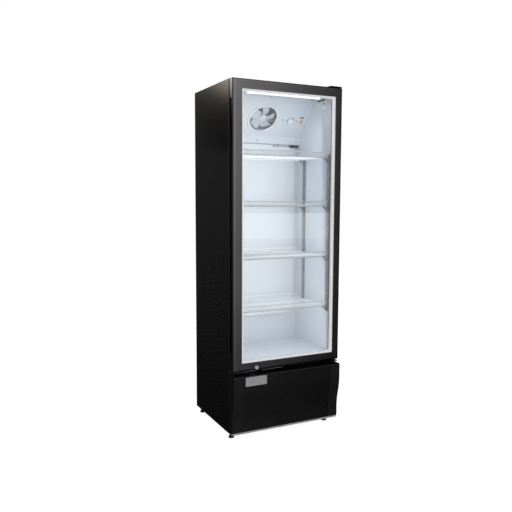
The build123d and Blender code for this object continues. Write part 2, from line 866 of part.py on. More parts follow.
spider_depth = 7  # spider arms behind the motor front
with BuildPart() as evaporator_fan_motor:
    with Locations(fan_place * Pos(0, 0, -fan_motor_depth)):
        Cylinder(fan_motor_radius, fan_motor_length, align=(Align.CENTER, Align.CENTER, Align.MAX))
        for turn in (45, 135):
            with Locations((0, 0, -spider_depth)):
                Box(2 * spider_radius, 9, 3, rotation=(0, 0, turn))
    with Locations(fan_place * Pos(0, 0, -cover_wall)):
        with PolarLocations(spider_radius, 4, start_angle=45):
            Cylinder(
                4.5,
                fan_motor_depth + spider_depth + 1.5 - cover_wall,
                align=(Align.CENTER, Align.CENTER, Align.MAX),
            )
    with Locations(fan_place * Pos(0, 0, -fan_motor_depth + 1)):
        Cylinder(
            fan_shaft_radius + running_clearance,
            fan_shaft_depth + 2,
            align=(Align.CENTER, Align.CENTER, Align.MAX),
            mode=Mode.SUBTRACT,
        )
write(evaporator_fan_motor.part, "evaporator_fan_motor")

with BuildPart() as evaporator_fan:
    fan_wheel(
        Plane(fan_place * Pos(0, 0, -wheel_depth)),
        evaporator_fan_radius,
        hub_radius=21,
        hub_length=18,
        blade_width=34,
        blade_pitch=24,
        blades=5,
    )
    with Locations(fan_place * Pos(0, 0, -wheel_depth)):
        Cylinder(
            fan_shaft_radius,
            fan_motor_depth - wheel_depth + fan_shaft_depth,
            align=(Align.CENTER, Align.CENTER, Align.MAX),
        )
write(evaporator_fan.part, "evaporator_fan")

dial_shaft_depth = 17
with BuildPart() as thermostat_body:
    with Locations(dial_place * Pos(0, 0, -cover_wall)):
        Box(46, 38, 25, align=(Align.CENTER, Align.CENTER, Align.MAX))
        Cylinder(
            fan_shaft_radius + running_clearance,
            dial_shaft_depth,
            align=(Align.CENTER, Align.CENTER, Align.MAX),
            mode=Mode.SUBTRACT,
        )
write(thermostat_body.part, "thermostat_body")

with BuildPart() as thermostat_dial:
    with Locations(dial_place * Pos(0, 0, support_gap)):
        Cylinder(dial_radius, dial_height - 4, align=(Align.CENTER, Align.CENTER, Align.MIN))
        Cylinder(dial_radius - 3, dial_height, align=(Align.CENTER, Align.CENTER, Align.MIN))
        with PolarLocations(dial_radius + 0.6, 24):
            Cylinder(1.4, dial_height, mode=Mode.SUBTRACT)
        Cylinder(fan_shaft_radius, dial_shaft_depth, align=(Align.CENTER, Align.CENTER, Align.MAX))
    with Locations(dial_place * Pos(0, 0, support_gap + dial_height)):
        Box(3.4, 2 * dial_radius - 9, 3.2)
write(thermostat_dial.part, "thermostat_dial")

rocker_radius = 12.2
rocker_width = 12
cavity_gap = 0.6
pivot_depth = 3
rocker_stub = 6  # rocker below its pivot
cavity_depth = pivot_depth + rocker_radius + 1
with BuildPart() as light_switch_body:
    with Locations(switch_place):
        Box(switch_width, switch_length, 1.8, align=(Align.CENTER, Align.CENTER, Align.MIN))
        Box(
            switch_width - 2,
            switch_length - 2,
            cavity_depth + 3,
            align=(Align.CENTER, Align.CENTER, Align.MAX),
        )
        with Locations((0, 0, 2)):
            Box(
                rocker_width + 2 * cavity_gap,
                2 * (rocker_radius + cavity_gap),
                cavity_depth + 2,
                align=(Align.CENTER, Align.CENTER, Align.MAX),
                mode=Mode.SUBTRACT,
            )
write(light_switch_body.part, "light_switch_body")

rocker_place = switch_place * Location((0, 0, -pivot_depth), (-rocker_tilt, 0, 0))
with BuildPart() as light_switch_rocker:
    with Locations(rocker_place):
        Cylinder(rocker_radius, rocker_width, rotation=(0, 90, 0))
        Box(
            rocker_width + 1,
            2 * rocker_radius,
            rocker_stub + pivot_depth + 2.6,
            align=(Align.CENTER, Align.CENTER, Align.CENTER),
            mode=Mode.INTERSECT,
        )
write(light_switch_rocker.part, "light_switch_rocker")

# ---------------------------------------------------------------- light bar
light_length = 2 * (interior_half - light_end_gap)
light_y = cabinet_front + light_set_back
channel_low_z = ceiling_z - light_channel_depth
with BuildPart() as light_channel:
    block(
        (-light_length / 2, light_y - light_width / 2, channel_low_z),
        (light_length / 2, light_y + light_width / 2, ceiling_z),
    )
    block(
        (-light_length / 2 + 2, light_y - light_width / 2 + 2, channel_low_z - 1),
        (light_length / 2 - 2, light_y + light_width / 2 - 2, ceiling_z - 2),
        Mode.SUBTRACT,
    )
write(light_channel.part, "light_channel")

with BuildPart() as light_lens:
    with Locations((0, light_y, channel_low_z)):
        Cylinder(lens_radius, light_length - 2, rotation=(0, 90, 0))
        Cylinder(lens_radius - lens_wall, light_length - 8, rotation=(0, 90, 0), mode=Mode.SUBTRACT)
    block(
        (-light_length, light_y - 2 * lens_radius, channel_low_z),
        (light_length, light_y + 2 * lens_radius, channel_low_z + 2 * lens_radius),
        Mode.SUBTRACT,
    )
write(light_lens.part, "light_lens")

# ---------------------------------------------------------------- duct, pilasters, clips, shelves
duct_bottom = floor_z + duct_above_floor
duct_top = cover_bottom - duct_gap
air_slot_place = Plane(
    origin=(interior_half - air_slots_from_wall, duct_face_y, duct_top - air_slot_width),
    x_dir=(1, 0, 0),
    z_dir=(0, -1, 0),
)
with BuildPart() as air_duct_panel:
    with BuildSketch(Plane.XY.offset(duct_bottom)):
        bent_sheet([
            (-duct_half_width + sheet / 2, interior_back),
            (-duct_half_width + sheet / 2, duct_face_y + sheet / 2),
            (duct_half_width - sheet / 2, duct_face_y + sheet / 2),
            (duct_half_width - sheet / 2, interior_back),
        ])
    extrude(amount=duct_top - duct_bottom)
    with BuildSketch(air_slot_place):
        for index in range(air_slots):
            with Locations((index * air_slot_pitch, 0)):
                SlotOverall(air_slot_length, air_slot_width)
    extrude(amount=3, both=True, mode=Mode.SUBTRACT)
write(air_duct_panel.part, "air_duct_panel")

with BuildPart() as shelf_pilasters:
    for side in (-1, 1):
        for pilaster_y in (pilaster_front_y, pilaster_back_y):
            wall_x = side * interior_half
            face_x = side * (interior_half - pilaster_depth + pilaster_wall / 2)
            near_y = pilaster_y - pilaster_width / 2 + pilaster_wall / 2
            far_y = pilaster_y + pilaster_width / 2 - pilaster_wall / 2
            with BuildSketch(Plane.XY.offset(pilaster_bottom)):
                with BuildLine():
                    Polyline((wall_x, near_y), (face_x, near_y), (face_x, far_y), (wall_x, far_y))
                trace(line_width=pilaster_wall)
            extrude(amount=pilaster_top - pilaster_bottom)
    slot_count = int((pilaster_top - pilaster_bottom - 20) / slot_pitch)
    for pilaster_y in (pilaster_front_y, pilaster_back_y):
        slot_plane = Plane(
            origin=(0, pilaster_y, (pilaster_top + pilaster_bottom) / 2), x_dir=(0, 1, 0), z_dir=(1, 0, 0)
        )
        with BuildSketch(slot_plane):
            with GridLocations(0, slot_pitch, 1, slot_count):
                Rectangle(7, 4)
        extrude(amount=interior_half - 2, both=True, mode=Mode.SUBTRACT)
write(shelf_pilasters.part, "shelf_pilasters")

with BuildPart() as shelf_clips:
    for level in shelf_levels:
        for side in (-1, 1):
            for pilaster_y in (pilaster_front_y, pilaster_back_y):
                root_x = side * (interior_half - pilaster_depth)
                tip_x = root_x - side * clip_reach
                top_z = level - clip_top
                with BuildSketch(Plane.XZ.offset(-pilaster_y)):
                    with BuildLine():
                        Polyline((root_x, top_z), (tip_x, top_z), (root_x, top_z - clip_height), close=True)
                    make_face()
                    with BuildLine():
                        Polyline(
                            (root_x - side * clip_strip, top_z - clip_strip),
                            (tip_x + side * 3 * clip_strip, top_z - clip_strip),
                            (root_x - side * clip_strip, top_z - clip_height + 3 * clip_strip),
                            close=True,
                        )
                    make_face(mode=Mode.SUBTRACT)
                extrude(amount=clip_width / 2, both=True)
write(shelf_clips.part, "shelf_clips")

bend_start_front = shelf_front + wire_radius + 4
bend_start_back = shelf_back - wire_radius - 4
wire_pitch = 2 * (shelf_half_width - 8) / (shelf_wires - 1)
wire_xs = [-shelf_half_width + 8 + index * wire_pitch for index in range(shelf_wires)]
rod_spread = (bend_start_back - bend_start_front - 2 * shelf_rod_radius) / (shelf_rods - 1)


def bent_wire(start_y, end_y):
    """One shelf wire turned up at the shelf's edge."""
    with BuildPart() as wire:
        with BuildLine() as bend:
            FilletPolyline((0, start_y, 0), (0, end_y, 0), (0, end_y, fence_height), radius=3.8)
        with BuildSketch(Plane(origin=bend.line @ 0, z_dir=bend.line % 0)) as section:
            Circle(wire_radius)
        sweep(section.sketch, path=bend.line)
    return wire.part


with BuildPart() as shelf_deck:
    for wire_x in wire_xs:
        rod((wire_x, bend_start_front, 0), (wire_x, bend_start_back, 0), wire_radius)
    for index in range(shelf_rods):
        rod_y = bend_start_front + shelf_rod_radius + index * rod_spread
        rod((-shelf_half_width, rod_y, -rod_drop), (shelf_half_width, rod_y, -rod_drop), shelf_rod_radius)
    for side_x in (-shelf_half_width + shelf_rod_radius, shelf_half_width - shelf_rod_radius):
        rod((side_x, bend_start_front, -rod_drop), (side_x, bend_start_back, -rod_drop), shelf_rod_radius)

shelf_solids = shelf_deck.solids()
fence_ends = (
    (bend_start_front, shelf_front + wire_radius),
    (bend_start_back, shelf_back - wire_radius),
)
for start_y, end_y in fence_ends:
    wire = bent_wire(start_y, end_y)
    with BuildPart() as fence:
        with Locations(*[(wire_x, 0, 0) for wire_x in wire_xs]):
            add(wire)
        rod(
            (-shelf_half_width, end_y, fence_height),
            (shelf_half_width, end_y, fence_height),
            shelf_rod_radius - 0.6,
        )
    shelf_solids += fence.solids()
for number, level in enumerate(reversed(shelf_levels), start=1):
    placed = Compound([solid.moved(Location((0, 0, level))) for solid in shelf_solids])
    write(placed, f"shelf_{number}")

# ---------------------------------------------------------------- door
corner_points = {
    "outer": (
        (-half_width, door_bottom),
        (half_width, door_bottom),
        (half_width, door_top),
        (-half_width, door_top),
    ),
    "inner": (
        (-half_width + left_stile_width, door_bottom + bottom_rail_width),
        (half_width - right_stile_width, door_bottom + bottom_rail_width),
        (half_width - right_stile_width, door_top - top_rail_width),
        (-half_width + left_stile_width, door_top - top_rail_width),
    ),
}


def frame_section(face_width, outer, inward, upright, chamber):
    """Extrusion section: rounded outer corner, glazing pocket on the inner side, one chamber."""

    def at(across, back):
        point = (outer + inward * across, door_front + back)
        return point if upright else point[::-1]

    pocket_back = glazing_lip + 2 * glass + glass_air_gap
    outline = (
        (0, 0),
        (face_width, 0),
        (face_width, glazing_lip),
        (face_width - glazing_depth, glazing_lip),
        (face_width - glazing_depth, pocket_back),
        (face_width, pocket_back),
        (face_width, door_thickness),
        (0, door_thickness),
    )
    with BuildLine() as profile:
        Polyline(*[at(*point) for point in outline], close=True)
    face = make_face(profile.edges())
    fillet(face.vertices().sort_by_distance(at(0, 0))[0], frame_corner)
    with BuildLine() as hollow:
        Polyline(*[at(*point) for point in chamber], close=True)
    make_face(hollow.edges(), mode=Mode.SUBTRACT)


def mitre(first, second):
    """Trim the open member to the mitre lines at its two corners of the frame."""
    corners = [corner_points["outer"][first], corner_points["outer"][second]]
    corners += [corner_points["inner"][second], corner_points["inner"][first]]
    with BuildLine() as outline:
        Polyline(*corners, close=True)
    with BuildSketch(Plane.XZ.offset(-door_back - 1)) as trim:
        make_face(outline.edges())
    extrude(trim.sketch, amount=door_thickness + 2, mode=Mode.INTERSECT)


def plain_chamber(face_width):
    """The hollow of a member with no finger groove."""
    far = face_width - glazing_depth - frame_wall
    return (
        (frame_wall + 1, frame_wall + 1),
        (far, frame_wall + 1),
        (far, door_thickness - frame_wall),
        (frame_wall + 1, door_thickness - frame_wall),
    )


pull_back = door_thickness - pull_back_wall
pull_front = pull_back - pull_width
stile_far = left_stile_width - glazing_depth - frame_wall
stile_chamber = (
    (frame_wall + 1, frame_wall + 1),
    (stile_far, frame_wall + 1),
    (stile_far, door_thickness - frame_wall),
    (pull_depth + frame_wall, door_thickness - frame_wall),
    (pull_depth + frame_wall, pull_front - frame_wall),
    (frame_wall + 1, pull_front - frame_wall),
)
pull_end_margin = 90
with BuildPart() as door_left_stile:
    with BuildSketch(Plane.XY.offset(door_bottom)):
        frame_section(left_stile_width, -half_width, 1, True, stile_chamber)
    extrude(amount=door_top - door_bottom)
    mitre(0, 3)
    block(
        (-half_width - 1, door_front + pull_front, door_bottom + pull_end_margin),
        (-half_width + pull_depth, door_front + pull_back, door_top - pull_end_margin),
        Mode.SUBTRACT,
    )
write(door_left_stile.part, "door_left_stile")

bush_ends = ((door_bottom, 1), (door_top, -1))


def cut_bush_holes():
    """Hinge bush holes, top and bottom, on the hinge axis."""
    for end_z, inward in bush_ends:
        start = (pivot_x, pivot_y, end_z - inward)
        rod(start, (pivot_x, pivot_y, end_z + inward * bush_length), bush_radius, Mode.SUBTRACT)


with BuildPart() as door_right_stile:
    with BuildSketch(Plane.XY.offset(door_bottom)):
        frame_section(right_stile_width, half_width, -1, True, plain_chamber(right_stile_width))
    extrude(amount=door_top - door_bottom)
    mitre(1, 2)
    cut_bush_holes()
write(door_right_stile.part, "door_right_stile")

with BuildPart() as door_top_rail:
    with BuildSketch(Plane.YZ.offset(-half_width)):
        frame_section(top_rail_width, door_top, -1, False, plain_chamber(top_rail_width))
    extrude(amount=width)
    mitre(2, 3)
    cut_bush_holes()
write(door_top_rail.part, "door_top_rail")

with BuildPart() as door_bottom_rail:
    with BuildSketch(Plane.YZ.offset(-half_width)):
        frame_section(bottom_rail_width, door_bottom, 1, False, plain_chamber(bottom_rail_width))
    extrude(amount=width)
    mitre(0, 1)
    cut_bush_holes()
    rod((lock_x, door_front - 1, lock_z), (lock_x, door_back + 1, lock_z), lock_barrel_radius, Mode.SUBTRACT)
write(door_bottom_rail.part, "door_bottom_rail")

with BuildPart() as glass_panes:
    for pane_front in (glass_front, glass_front + glass + glass_air_gap):
        block((glass_left, pane_front, glass_low), (glass_right, pane_front + glass, glass_high))
write(glass_panes.part, "glass_panes")

with BuildPart() as glass_spacer:
    inset = glazing_bite + spacer_reveal
    ring(
        glass_front + glass,
        glass_front + glass + glass_air_gap,
        (glass_left, glass_low),
        (glass_right, glass_high),
        (glass_left + inset, glass_low + inset),
        (glass_right - inset, glass_high - inset),
    )
write(glass_spacer.part, "glass_spacer")

gasket_back = cabinet_front - seal_clearance
seal_low = (-seal_edge, floor_z - breaker_width)
seal_high = (seal_edge, ceiling_z + breaker_width)
gasket_steps = (  # start and end of each step as shares of the gap, and its inset from both edges
    (0, 0.25, 0),
    (0.25, 0.6, 2.5),
    (0.6, 1, 0.5),
)
with BuildPart() as door_gasket:
    for start, end, inset in gasket_steps:
        reach = gasket_width - inset
        ring(
            door_back + start * (gasket_back - door_back),
            door_back + end * (gasket_back - door_back),
            [value - reach for value in seal_low],
            [value + reach for value in seal_high],
            [value - inset for value in seal_low],
            [value + inset for value in seal_high],
        )
write(door_gasket.part, "door_gasket")

with BuildPart() as door_hinge_bushes:
    for end_z, inward in bush_ends:
        rod((pivot_x, pivot_y, end_z), (pivot_x, pivot_y, end_z + inward * bush_length), bush_radius)
        rod((pivot_x, pivot_y, end_z - inward * 1.5), (pivot_x, pivot_y, end_z), bush_radius + 3)
        rod(
            (pivot_x, pivot_y, end_z - inward * 3),
            (pivot_x, pivot_y, end_z + inward * (bush_length + 1)),
            pin_radius + running_clearance,
            Mode.SUBTRACT,
        )
write(door_hinge_bushes.part, "door_hinge_bushes")

rod_start = door_bottom + bush_length + 2
rod_length = 320
anchor = 16
with BuildPart() as closer_torsion_rod:
    rod((pivot_x, pivot_y, rod_start), (pivot_x, pivot_y, rod_start + rod_length), rod_radius)
    anchor_low = rod_start + rod_length
    anchor_left = half_width - right_stile_width + glazing_depth + frame_wall
    block(
        (anchor_left, door_front + frame_wall + 1, anchor_low),
        (half_width - frame_wall - 1, door_back - frame_wall, anchor_low + anchor),
    )
write(closer_torsion_rod.part, "closer_torsion_rod")

barrel_back = door_back + 2
cam_front = barrel_back + 3
with BuildPart() as lock_cylinder:
    rod((lock_x, door_front, lock_z), (lock_x, barrel_back, lock_z), lock_barrel_radius)
    rod((lock_x, door_front - lock_bezel, lock_z), (lock_x, door_front, lock_z), lock_barrel_radius + 2)
    fillet(lock_cylinder.faces().sort_by(Axis.Y)[0].edges(), 1)
    rod(
        (lock_x, door_front - 4, lock_z),
        (lock_x, barrel_back + 1, lock_z),
        lock_plug_radius + running_clearance,
        Mode.SUBTRACT,
    )
write(lock_cylinder.part, "lock_cylinder")

with BuildPart() as lock_plug:
    rod((lock_x, door_front - lock_bezel, lock_z), (lock_x, cam_front, lock_z), lock_plug_radius)
    block(
        (lock_x - cam_width / 2, cam_front, lock_z - cam_width / 2),
        (lock_x + cam_length, cam_front + cam_plate, lock_z + cam_width / 2),
    )
    block(
        (lock_x - 0.7, door_front - lock_bezel - 1, lock_z - 3.6),
        (lock_x + 0.7, door_front + 8, lock_z + 3.6),
        Mode.SUBTRACT,
    )
write(lock_plug.part, "lock_plug")

keeper_lip = 1.5
keeper_gap = 1.0
lip_back = cam_front - keeper_gap
keeper_left = lock_x - cam_width / 2 - 12
keeper_low = base_height + 2
keeper_high = door_bottom - 5
with BuildPart() as lock_keeper:
    block(
        (keeper_left, cabinet_front - keeper_lip, keeper_low),
        (lock_x + cam_width, cabinet_front, keeper_high),
    )
    block((keeper_left, lip_back - keeper_lip, keeper_low), (keeper_left + 2, cabinet_front, keeper_high))
    block((keeper_left, lip_back - keeper_lip, keeper_low), (lock_x + cam_width, lip_back, keeper_high))
write(lock_keeper.part, "lock_keeper")

bracket_left = pivot_x - 55
bracket_right = half_width - 3
lower_plate_top = door_bottom - 7
upper_plate_back = cabinet_front + 75
bolt_spots = ((bracket_left + 12, 16), (pivot_x - 4, 16), (bracket_left + 12, 58), (pivot_x - 4, 58))
with BuildPart() as hinge_brackets:
    block(
        (bracket_left, pivot_y - 15, lower_plate_top - hinge_plate),
        (bracket_right, cabinet_front, lower_plate_top),
    )
    block(
        (bracket_left, cabinet_front - hinge_plate, base_height),
        (bracket_right, cabinet_front, lower_plate_top),
    )
    rod((pivot_x, pivot_y, lower_plate_top), (pivot_x, pivot_y, door_bottom - 1.5 - support_gap), bush_radius)
    rod((pivot_x, pivot_y, lower_plate_top), (pivot_x, pivot_y, door_bottom + bush_length - 3), pin_radius)
    block((bracket_left, pivot_y - 15, height), (bracket_right, upper_plate_back, height + hinge_plate))
    rod((pivot_x, pivot_y, door_top - bush_length + 3), (pivot_x, pivot_y, height), pin_radius)
    with BuildSketch(Plane.XY.offset(height + hinge_plate)):
        for bolt_x, back in bolt_spots:
            with Locations((bolt_x, cabinet_front + back)):
                RegularPolygon(5.5, 6)
    extrude(amount=4.5)
write(hinge_brackets.part, "hinge_brackets")

# ---------------------------------------------------------------- pipes, hose, screws
hose_turn_z = 160
hose_reach = 62  # forward from the back channel to over the condensate tray
with BuildPart() as drain_hose:
    tube(
        [
            (drain_hole[0], interior_back - 0.2, drain_hole[1]),
            (drain_hole[0], channel_y, drain_hole[1]),
            (drain_hole[0], channel_y, hose_turn_z),
            (drain_hole[0], channel_y - hose_reach, hose_turn_z),
            (drain_hole[0], channel_y - hose_reach, tray_top + 10),
        ],
        24,
        drain_radius,
    )
write(drain_hose.part, "drain_hose")

evaporator_end = evaporator_right + coil_end
condenser_end = condenser_right + coil_end
suction_low = base_height - 75
riser_x = half_width - 13
discharge_x = half_width - 25
with BuildPart() as refrigerant_lines:
    tube(
        [
            (evaporator_end, evaporator_rows_y[1], suction_hole[1]),
            (suction_hole[0], evaporator_rows_y[1], suction_hole[1]),
            (suction_hole[0], channel_y, suction_hole[1]),
            (suction_hole[0], channel_y, suction_low),
            (compressor_x, channel_y, suction_low),
            (compressor_x, channel_y, stub_z),
            (compressor_x, compressor_y + stub_end, stub_z),
        ],
        12,
        suction_radius,
    )
    tube(
        [
            (compressor_x + stub_end, compressor_y, stub_z),
            (discharge_x, compressor_y, stub_z),
            (discharge_x, condenser_rows_y[1], stub_z),
            (discharge_x, condenser_rows_y[1], condenser_rows_z[0]),
            (condenser_end, condenser_rows_y[1], condenser_rows_z[0]),
        ],
        8,
        discharge_radius,
    )
    tube(
        [
            (condenser_end, condenser_rows_y[0], condenser_rows_z[0]),
            (riser_x, condenser_rows_y[0], condenser_rows_z[0]),
            (riser_x, channel_y, condenser_rows_z[0]),
            (riser_x, channel_y, liquid_hole[1]),
            (liquid_hole[0], channel_y, liquid_hole[1]),
            (liquid_hole[0], evaporator_rows_y[0], liquid_hole[1]),
            (evaporator_end, evaporator_rows_y[0], liquid_hole[1]),
        ],
        10,
        liquid_radius,
    )
write(refrigerant_lines.part, "refrigerant_lines")

screw_radius = 3.6
screw_height = 1.8
edge_inset = 24
cover_screw_down = 12  # top row, down the slope
cover_skirt_z = cover_bottom + 16
cover_screws = [(x, -cover_screw_down) for x in (edge_inset - interior_half, 0, interior_half - edge_inset)]
cover_screws += [(dial_x + side * 43, -dial_down_slope) for side in (-1, 1)]
skirt_screws = [(x, cover_skirt_z) for x in (edge_inset - interior_half, 0, interior_half - edge_inset)]
duct_screws = [(side * (duct_half_width - 16), duct_bottom + 17) for side in (-1, 1)]
back_screws = [
    (side * (seal_edge - 14), screw_z)
    for side in (-1, 0, 1)
    for screw_z in (foot_height + 20, base_height - 12, base_height + 15, ceiling_z - 5)
]
screw_planes = [Plane(cover_plane * Pos(*place, 0)) for place in cover_screws]
screw_planes += [Plane(origin=(x, cover_face_y, z), z_dir=(0, -1, 0)) for x, z in skirt_screws]
screw_planes += [Plane(origin=(x, duct_face_y, z), z_dir=(0, -1, 0)) for x, z in duct_screws]
with BuildPart() as panel_screws:
    with Locations(*screw_planes):
        Cylinder(screw_radius, screw_height, align=(Align.CENTER, Align.CENTER, Align.MIN))
    for screw_x, screw_z in back_screws:
        rod((screw_x, panel_y + sheet, screw_z), (screw_x, back_y, screw_z), screw_radius)
write(panel_screws.part, "panel_screws")
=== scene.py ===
"""Upright glass door merchandiser: its finishes and the pieces with soft or fine shapes."""

import json
import math

import bmesh
import bpy
import numpy as np
from mathutils import Matrix, Vector


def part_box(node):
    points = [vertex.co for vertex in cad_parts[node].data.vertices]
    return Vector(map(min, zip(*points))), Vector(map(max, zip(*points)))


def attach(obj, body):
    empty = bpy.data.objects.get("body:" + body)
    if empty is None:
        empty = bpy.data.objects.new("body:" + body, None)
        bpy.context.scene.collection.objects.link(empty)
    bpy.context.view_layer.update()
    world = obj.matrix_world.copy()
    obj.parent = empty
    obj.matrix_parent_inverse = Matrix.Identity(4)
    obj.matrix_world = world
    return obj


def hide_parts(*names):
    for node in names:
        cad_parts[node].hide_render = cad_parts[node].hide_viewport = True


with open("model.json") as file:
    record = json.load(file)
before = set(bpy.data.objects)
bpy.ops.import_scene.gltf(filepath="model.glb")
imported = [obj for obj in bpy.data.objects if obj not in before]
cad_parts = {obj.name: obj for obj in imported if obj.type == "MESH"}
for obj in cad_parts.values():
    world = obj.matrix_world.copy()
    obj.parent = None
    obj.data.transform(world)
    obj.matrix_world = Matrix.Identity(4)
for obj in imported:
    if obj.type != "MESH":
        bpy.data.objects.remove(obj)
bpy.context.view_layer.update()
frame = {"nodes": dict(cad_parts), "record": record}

# ---------------------------------------------------------------- camera
# A short telephoto at chest height, off the latch side of the door, looking a little down.
camera_place = Vector((-1.477, -2.855, 1.223))
camera_yaw, camera_pitch, camera_roll = (math.radians(angle) for angle in (26.349, 5.578, 0.205))

forward = Vector((
    math.sin(camera_yaw) * math.cos(camera_pitch),
    math.cos(camera_yaw) * math.cos(camera_pitch),
    -math.sin(camera_pitch),
))
level_right = Vector((math.cos(camera_yaw), -math.sin(camera_yaw), 0))
level_up = level_right.cross(forward)
tipped_right = level_right * math.cos(camera_roll) + level_up * math.sin(camera_roll)
tipped_up = level_up * math.cos(camera_roll) - level_right * math.sin(camera_roll)
camera = bpy.data.objects.new("camera", bpy.data.cameras.new("camera"))
bpy.context.collection.objects.link(camera)
camera.data.sensor_width = 36
camera.data.lens = 41.775
camera.matrix_world = Matrix.Translation(camera_place) @ Matrix(
    (tipped_right, tipped_up, -forward)
).transposed().to_4x4()
bpy.context.scene.camera = camera

# ---------------------------------------------------------------- studio
# A white cyclorama. The lamps and the walls that the gloss mirrors are dim, so black enamel stays
# black; the floor glows to make up for them, and no gloss mirrors it.
bpy.context.scene.view_settings.view_transform = "Standard"


def linear(code):
    """Linear RGBA of an sRGB hex code: each channel's power curve, straight near black."""
    channels = [int(code[place:place + 2], 16) / 255 for place in (0, 2, 4)]
    return [c / 12.92 if c <= 0.04045 else ((c + 0.055) / 1.055) ** 2.4 for c in channels] + [1.0]


def add_node(tree, kind, inputs=None, **settings):
    """Adds a node. inputs gives its sockets a value, or an output socket to link."""
    node = tree.nodes.new(kind)
    for setting, value in settings.items():
        setattr(node, setting, value)
    for socket, value in (inputs or {}).items():
        if isinstance(value, bpy.types.NodeSocket):
            tree.links.new(value, node.inputs[socket])
        else:
            node.inputs[socket].default_value = value
    return node


world = bpy.data.worlds.new("cyclorama")
world.use_nodes = True
world.node_tree.nodes.clear()
sky = world.node_tree
ray = add_node(sky, "ShaderNodeLightPath")
toward = add_node(sky, "ShaderNodeSeparateXYZ", {
    "Vector": add_node(sky, "ShaderNodeTexCoord").outputs["Generated"],
})
front_wall = add_node(sky, "ShaderNodeMapRange", {
    "Value": toward.outputs["Y"],
    "From Min": 0.3, "From Max": -0.7, "To Min": 0.05, "To Max": 0.62,
}, interpolation_type="SMOOTHSTEP")
hinge_side = add_node(sky, "ShaderNodeMapRange", {
    "Value": toward.outputs["X"],
    "From Min": 0.37, "From Max": 0.53, "To Min": 1.0, "To Max": 0.07,
}, interpolation_type="SMOOTHSTEP")
rise = add_node(sky, "ShaderNodeMapRange", {
    "Value": toward.outputs["Z"],
    "From Min": -0.32, "From Max": 0.25, "To Min": 0.22, "To Max": 1.6,
})
facing = add_node(sky, "ShaderNodeMath", {
    0: front_wall.outputs["Result"], 1: hinge_side.outputs["Result"],
}, operation="MULTIPLY")
wall = add_node(sky, "ShaderNodeMath", {
    0: facing.outputs[0], 1: rise.outputs["Result"],
}, operation="MULTIPLY")
mirrored = add_node(sky, "ShaderNodeBackground", {"Strength": wall.outputs[0]})
fill = add_node(sky, "ShaderNodeBackground", {"Strength": 0.34})
seen = add_node(sky, "ShaderNodeBackground", {"Strength": 1.0})
for background in (mirrored, fill, seen):
    background.inputs["Color"].default_value = linear("ffffff")
unseen = add_node(sky, "ShaderNodeMixShader", {
    0: ray.outputs["Is Glossy Ray"], 1: fill.outputs[0], 2: mirrored.outputs[0],
})
backdrop = add_node(sky, "ShaderNodeMixShader", {
    0: ray.outputs["Is Camera Ray"], 1: unseen.outputs[0], 2: seen.outputs[0],
})
add_node(sky, "ShaderNodeOutputWorld", {"Surface": backdrop.outputs[0]})
bpy.context.scene.world = world


def new_finish(name, colour, roughness, **sockets):
    """A Principled finish of an sRGB hex colour. Returns its material, tree and shader, and the
    output that gives Object coordinates."""
    material = bpy.data.materials.new(name)
    material.use_nodes = True
    tree = material.node_tree
    shader = tree.nodes["Principled BSDF"]
    shader.inputs["Base Color"].default_value = linear(colour)
    shader.inputs["Roughness"].default_value = roughness
    for socket, value in sockets.items():
        shader.inputs[socket.replace("_", " ")].default_value = value
    place = add_node(tree, "ShaderNodeTexCoord").outputs["Object"]
    return material, tree, shader, place


floor_reach = 40.0
floor_mesh = bpy.data.meshes.new("studio_floor")
floor_mesh.from_pydata(
    [(x, y, 0) for x, y in ((-1, -1), (1, -1), (1, 1), (-1, 1))], [], [(0, 1, 2, 3)]
)
floor_mesh.transform(Matrix.Scale(floor_reach, 4))
studio_floor = bpy.data.objects.new("studio_floor", floor_mesh)
bpy.context.collection.objects.link(studio_floor)
studio_floor.visible_glossy = False
paint, _, _, _ = new_finish("matt_white_floor_paint", "fbfbfb", 0.8, Emission_Strength=0.72)
paint.node_tree.nodes["Principled BSDF"].inputs["Emission Color"].default_value = linear("ffffff")
paint.cycles.emission_sampling = "NONE"
floor_mesh.materials.append(paint)


def lamp(name, place, aim, width, tall, watts, colour="ffffff"):
    """A rectangular softbox at place, facing aim, that neither the camera nor gloss sees."""
    data = bpy.data.lights.new(name, "AREA")
    data.shape = "RECTANGLE"
    data.size, data.size_y, data.energy = width, tall, watts
    data.color = linear(colour)[:3]
    box = bpy.data.objects.new(name, data)
    bpy.context.collection.objects.link(box)
    box.location = place
    box.rotation_mode = "QUATERNION"
    box.rotation_quaternion = (Vector(aim) - Vector(place)).to_track_quat("-Z", "Y")
    box.visible_camera = False
    box.visible_glossy = False
    return box


middle_height = (0, 0, 0.9)
lamp("overhead_softbox", (0, -0.6, 4.2), (0, 0, 0), width=4.5, tall=4.5, watts=30)
lamp("front_softbox", (1.6, -3.6, 1.9), middle_height, width=1.6, tall=2.4, watts=7)
lamp("left_softbox", (-3.8, -0.6, 1.6), middle_height, width=1.6, tall=2.4, watts=8)

# ---------------------------------------------------------------- outer cabinet
# Deep-drawn steel sheets: two wrapped side panels and a top, in black stove enamel. Enamel is a
# hard, glossy paint with a faint orange peel of 2 to 3 mm; here the peel is 4 mm so that it shows.


def roughen(tree, shader, place, size, low, high, depth):
    """Fine noise, size metres from bump to bump: roughness from low to high, bumps depth metres
    deep."""
    noise = add_node(tree, "ShaderNodeTexNoise", {
        "Vector": place, "Scale": 1 / size, "Detail": 4.0,
    })
    spread = add_node(tree, "ShaderNodeMapRange", {
        "Value": noise.outputs["Fac"],
        "From Min": 0.3, "From Max": 0.7, "To Min": low, "To Max": high,
    })
    tree.links.new(spread.outputs["Result"], shader.inputs["Roughness"])
    bump = add_node(tree, "ShaderNodeBump", {"Height": noise.outputs["Fac"], "Distance": depth})
    tree.links.new(bump.outputs["Normal"], shader.inputs["Normal"])


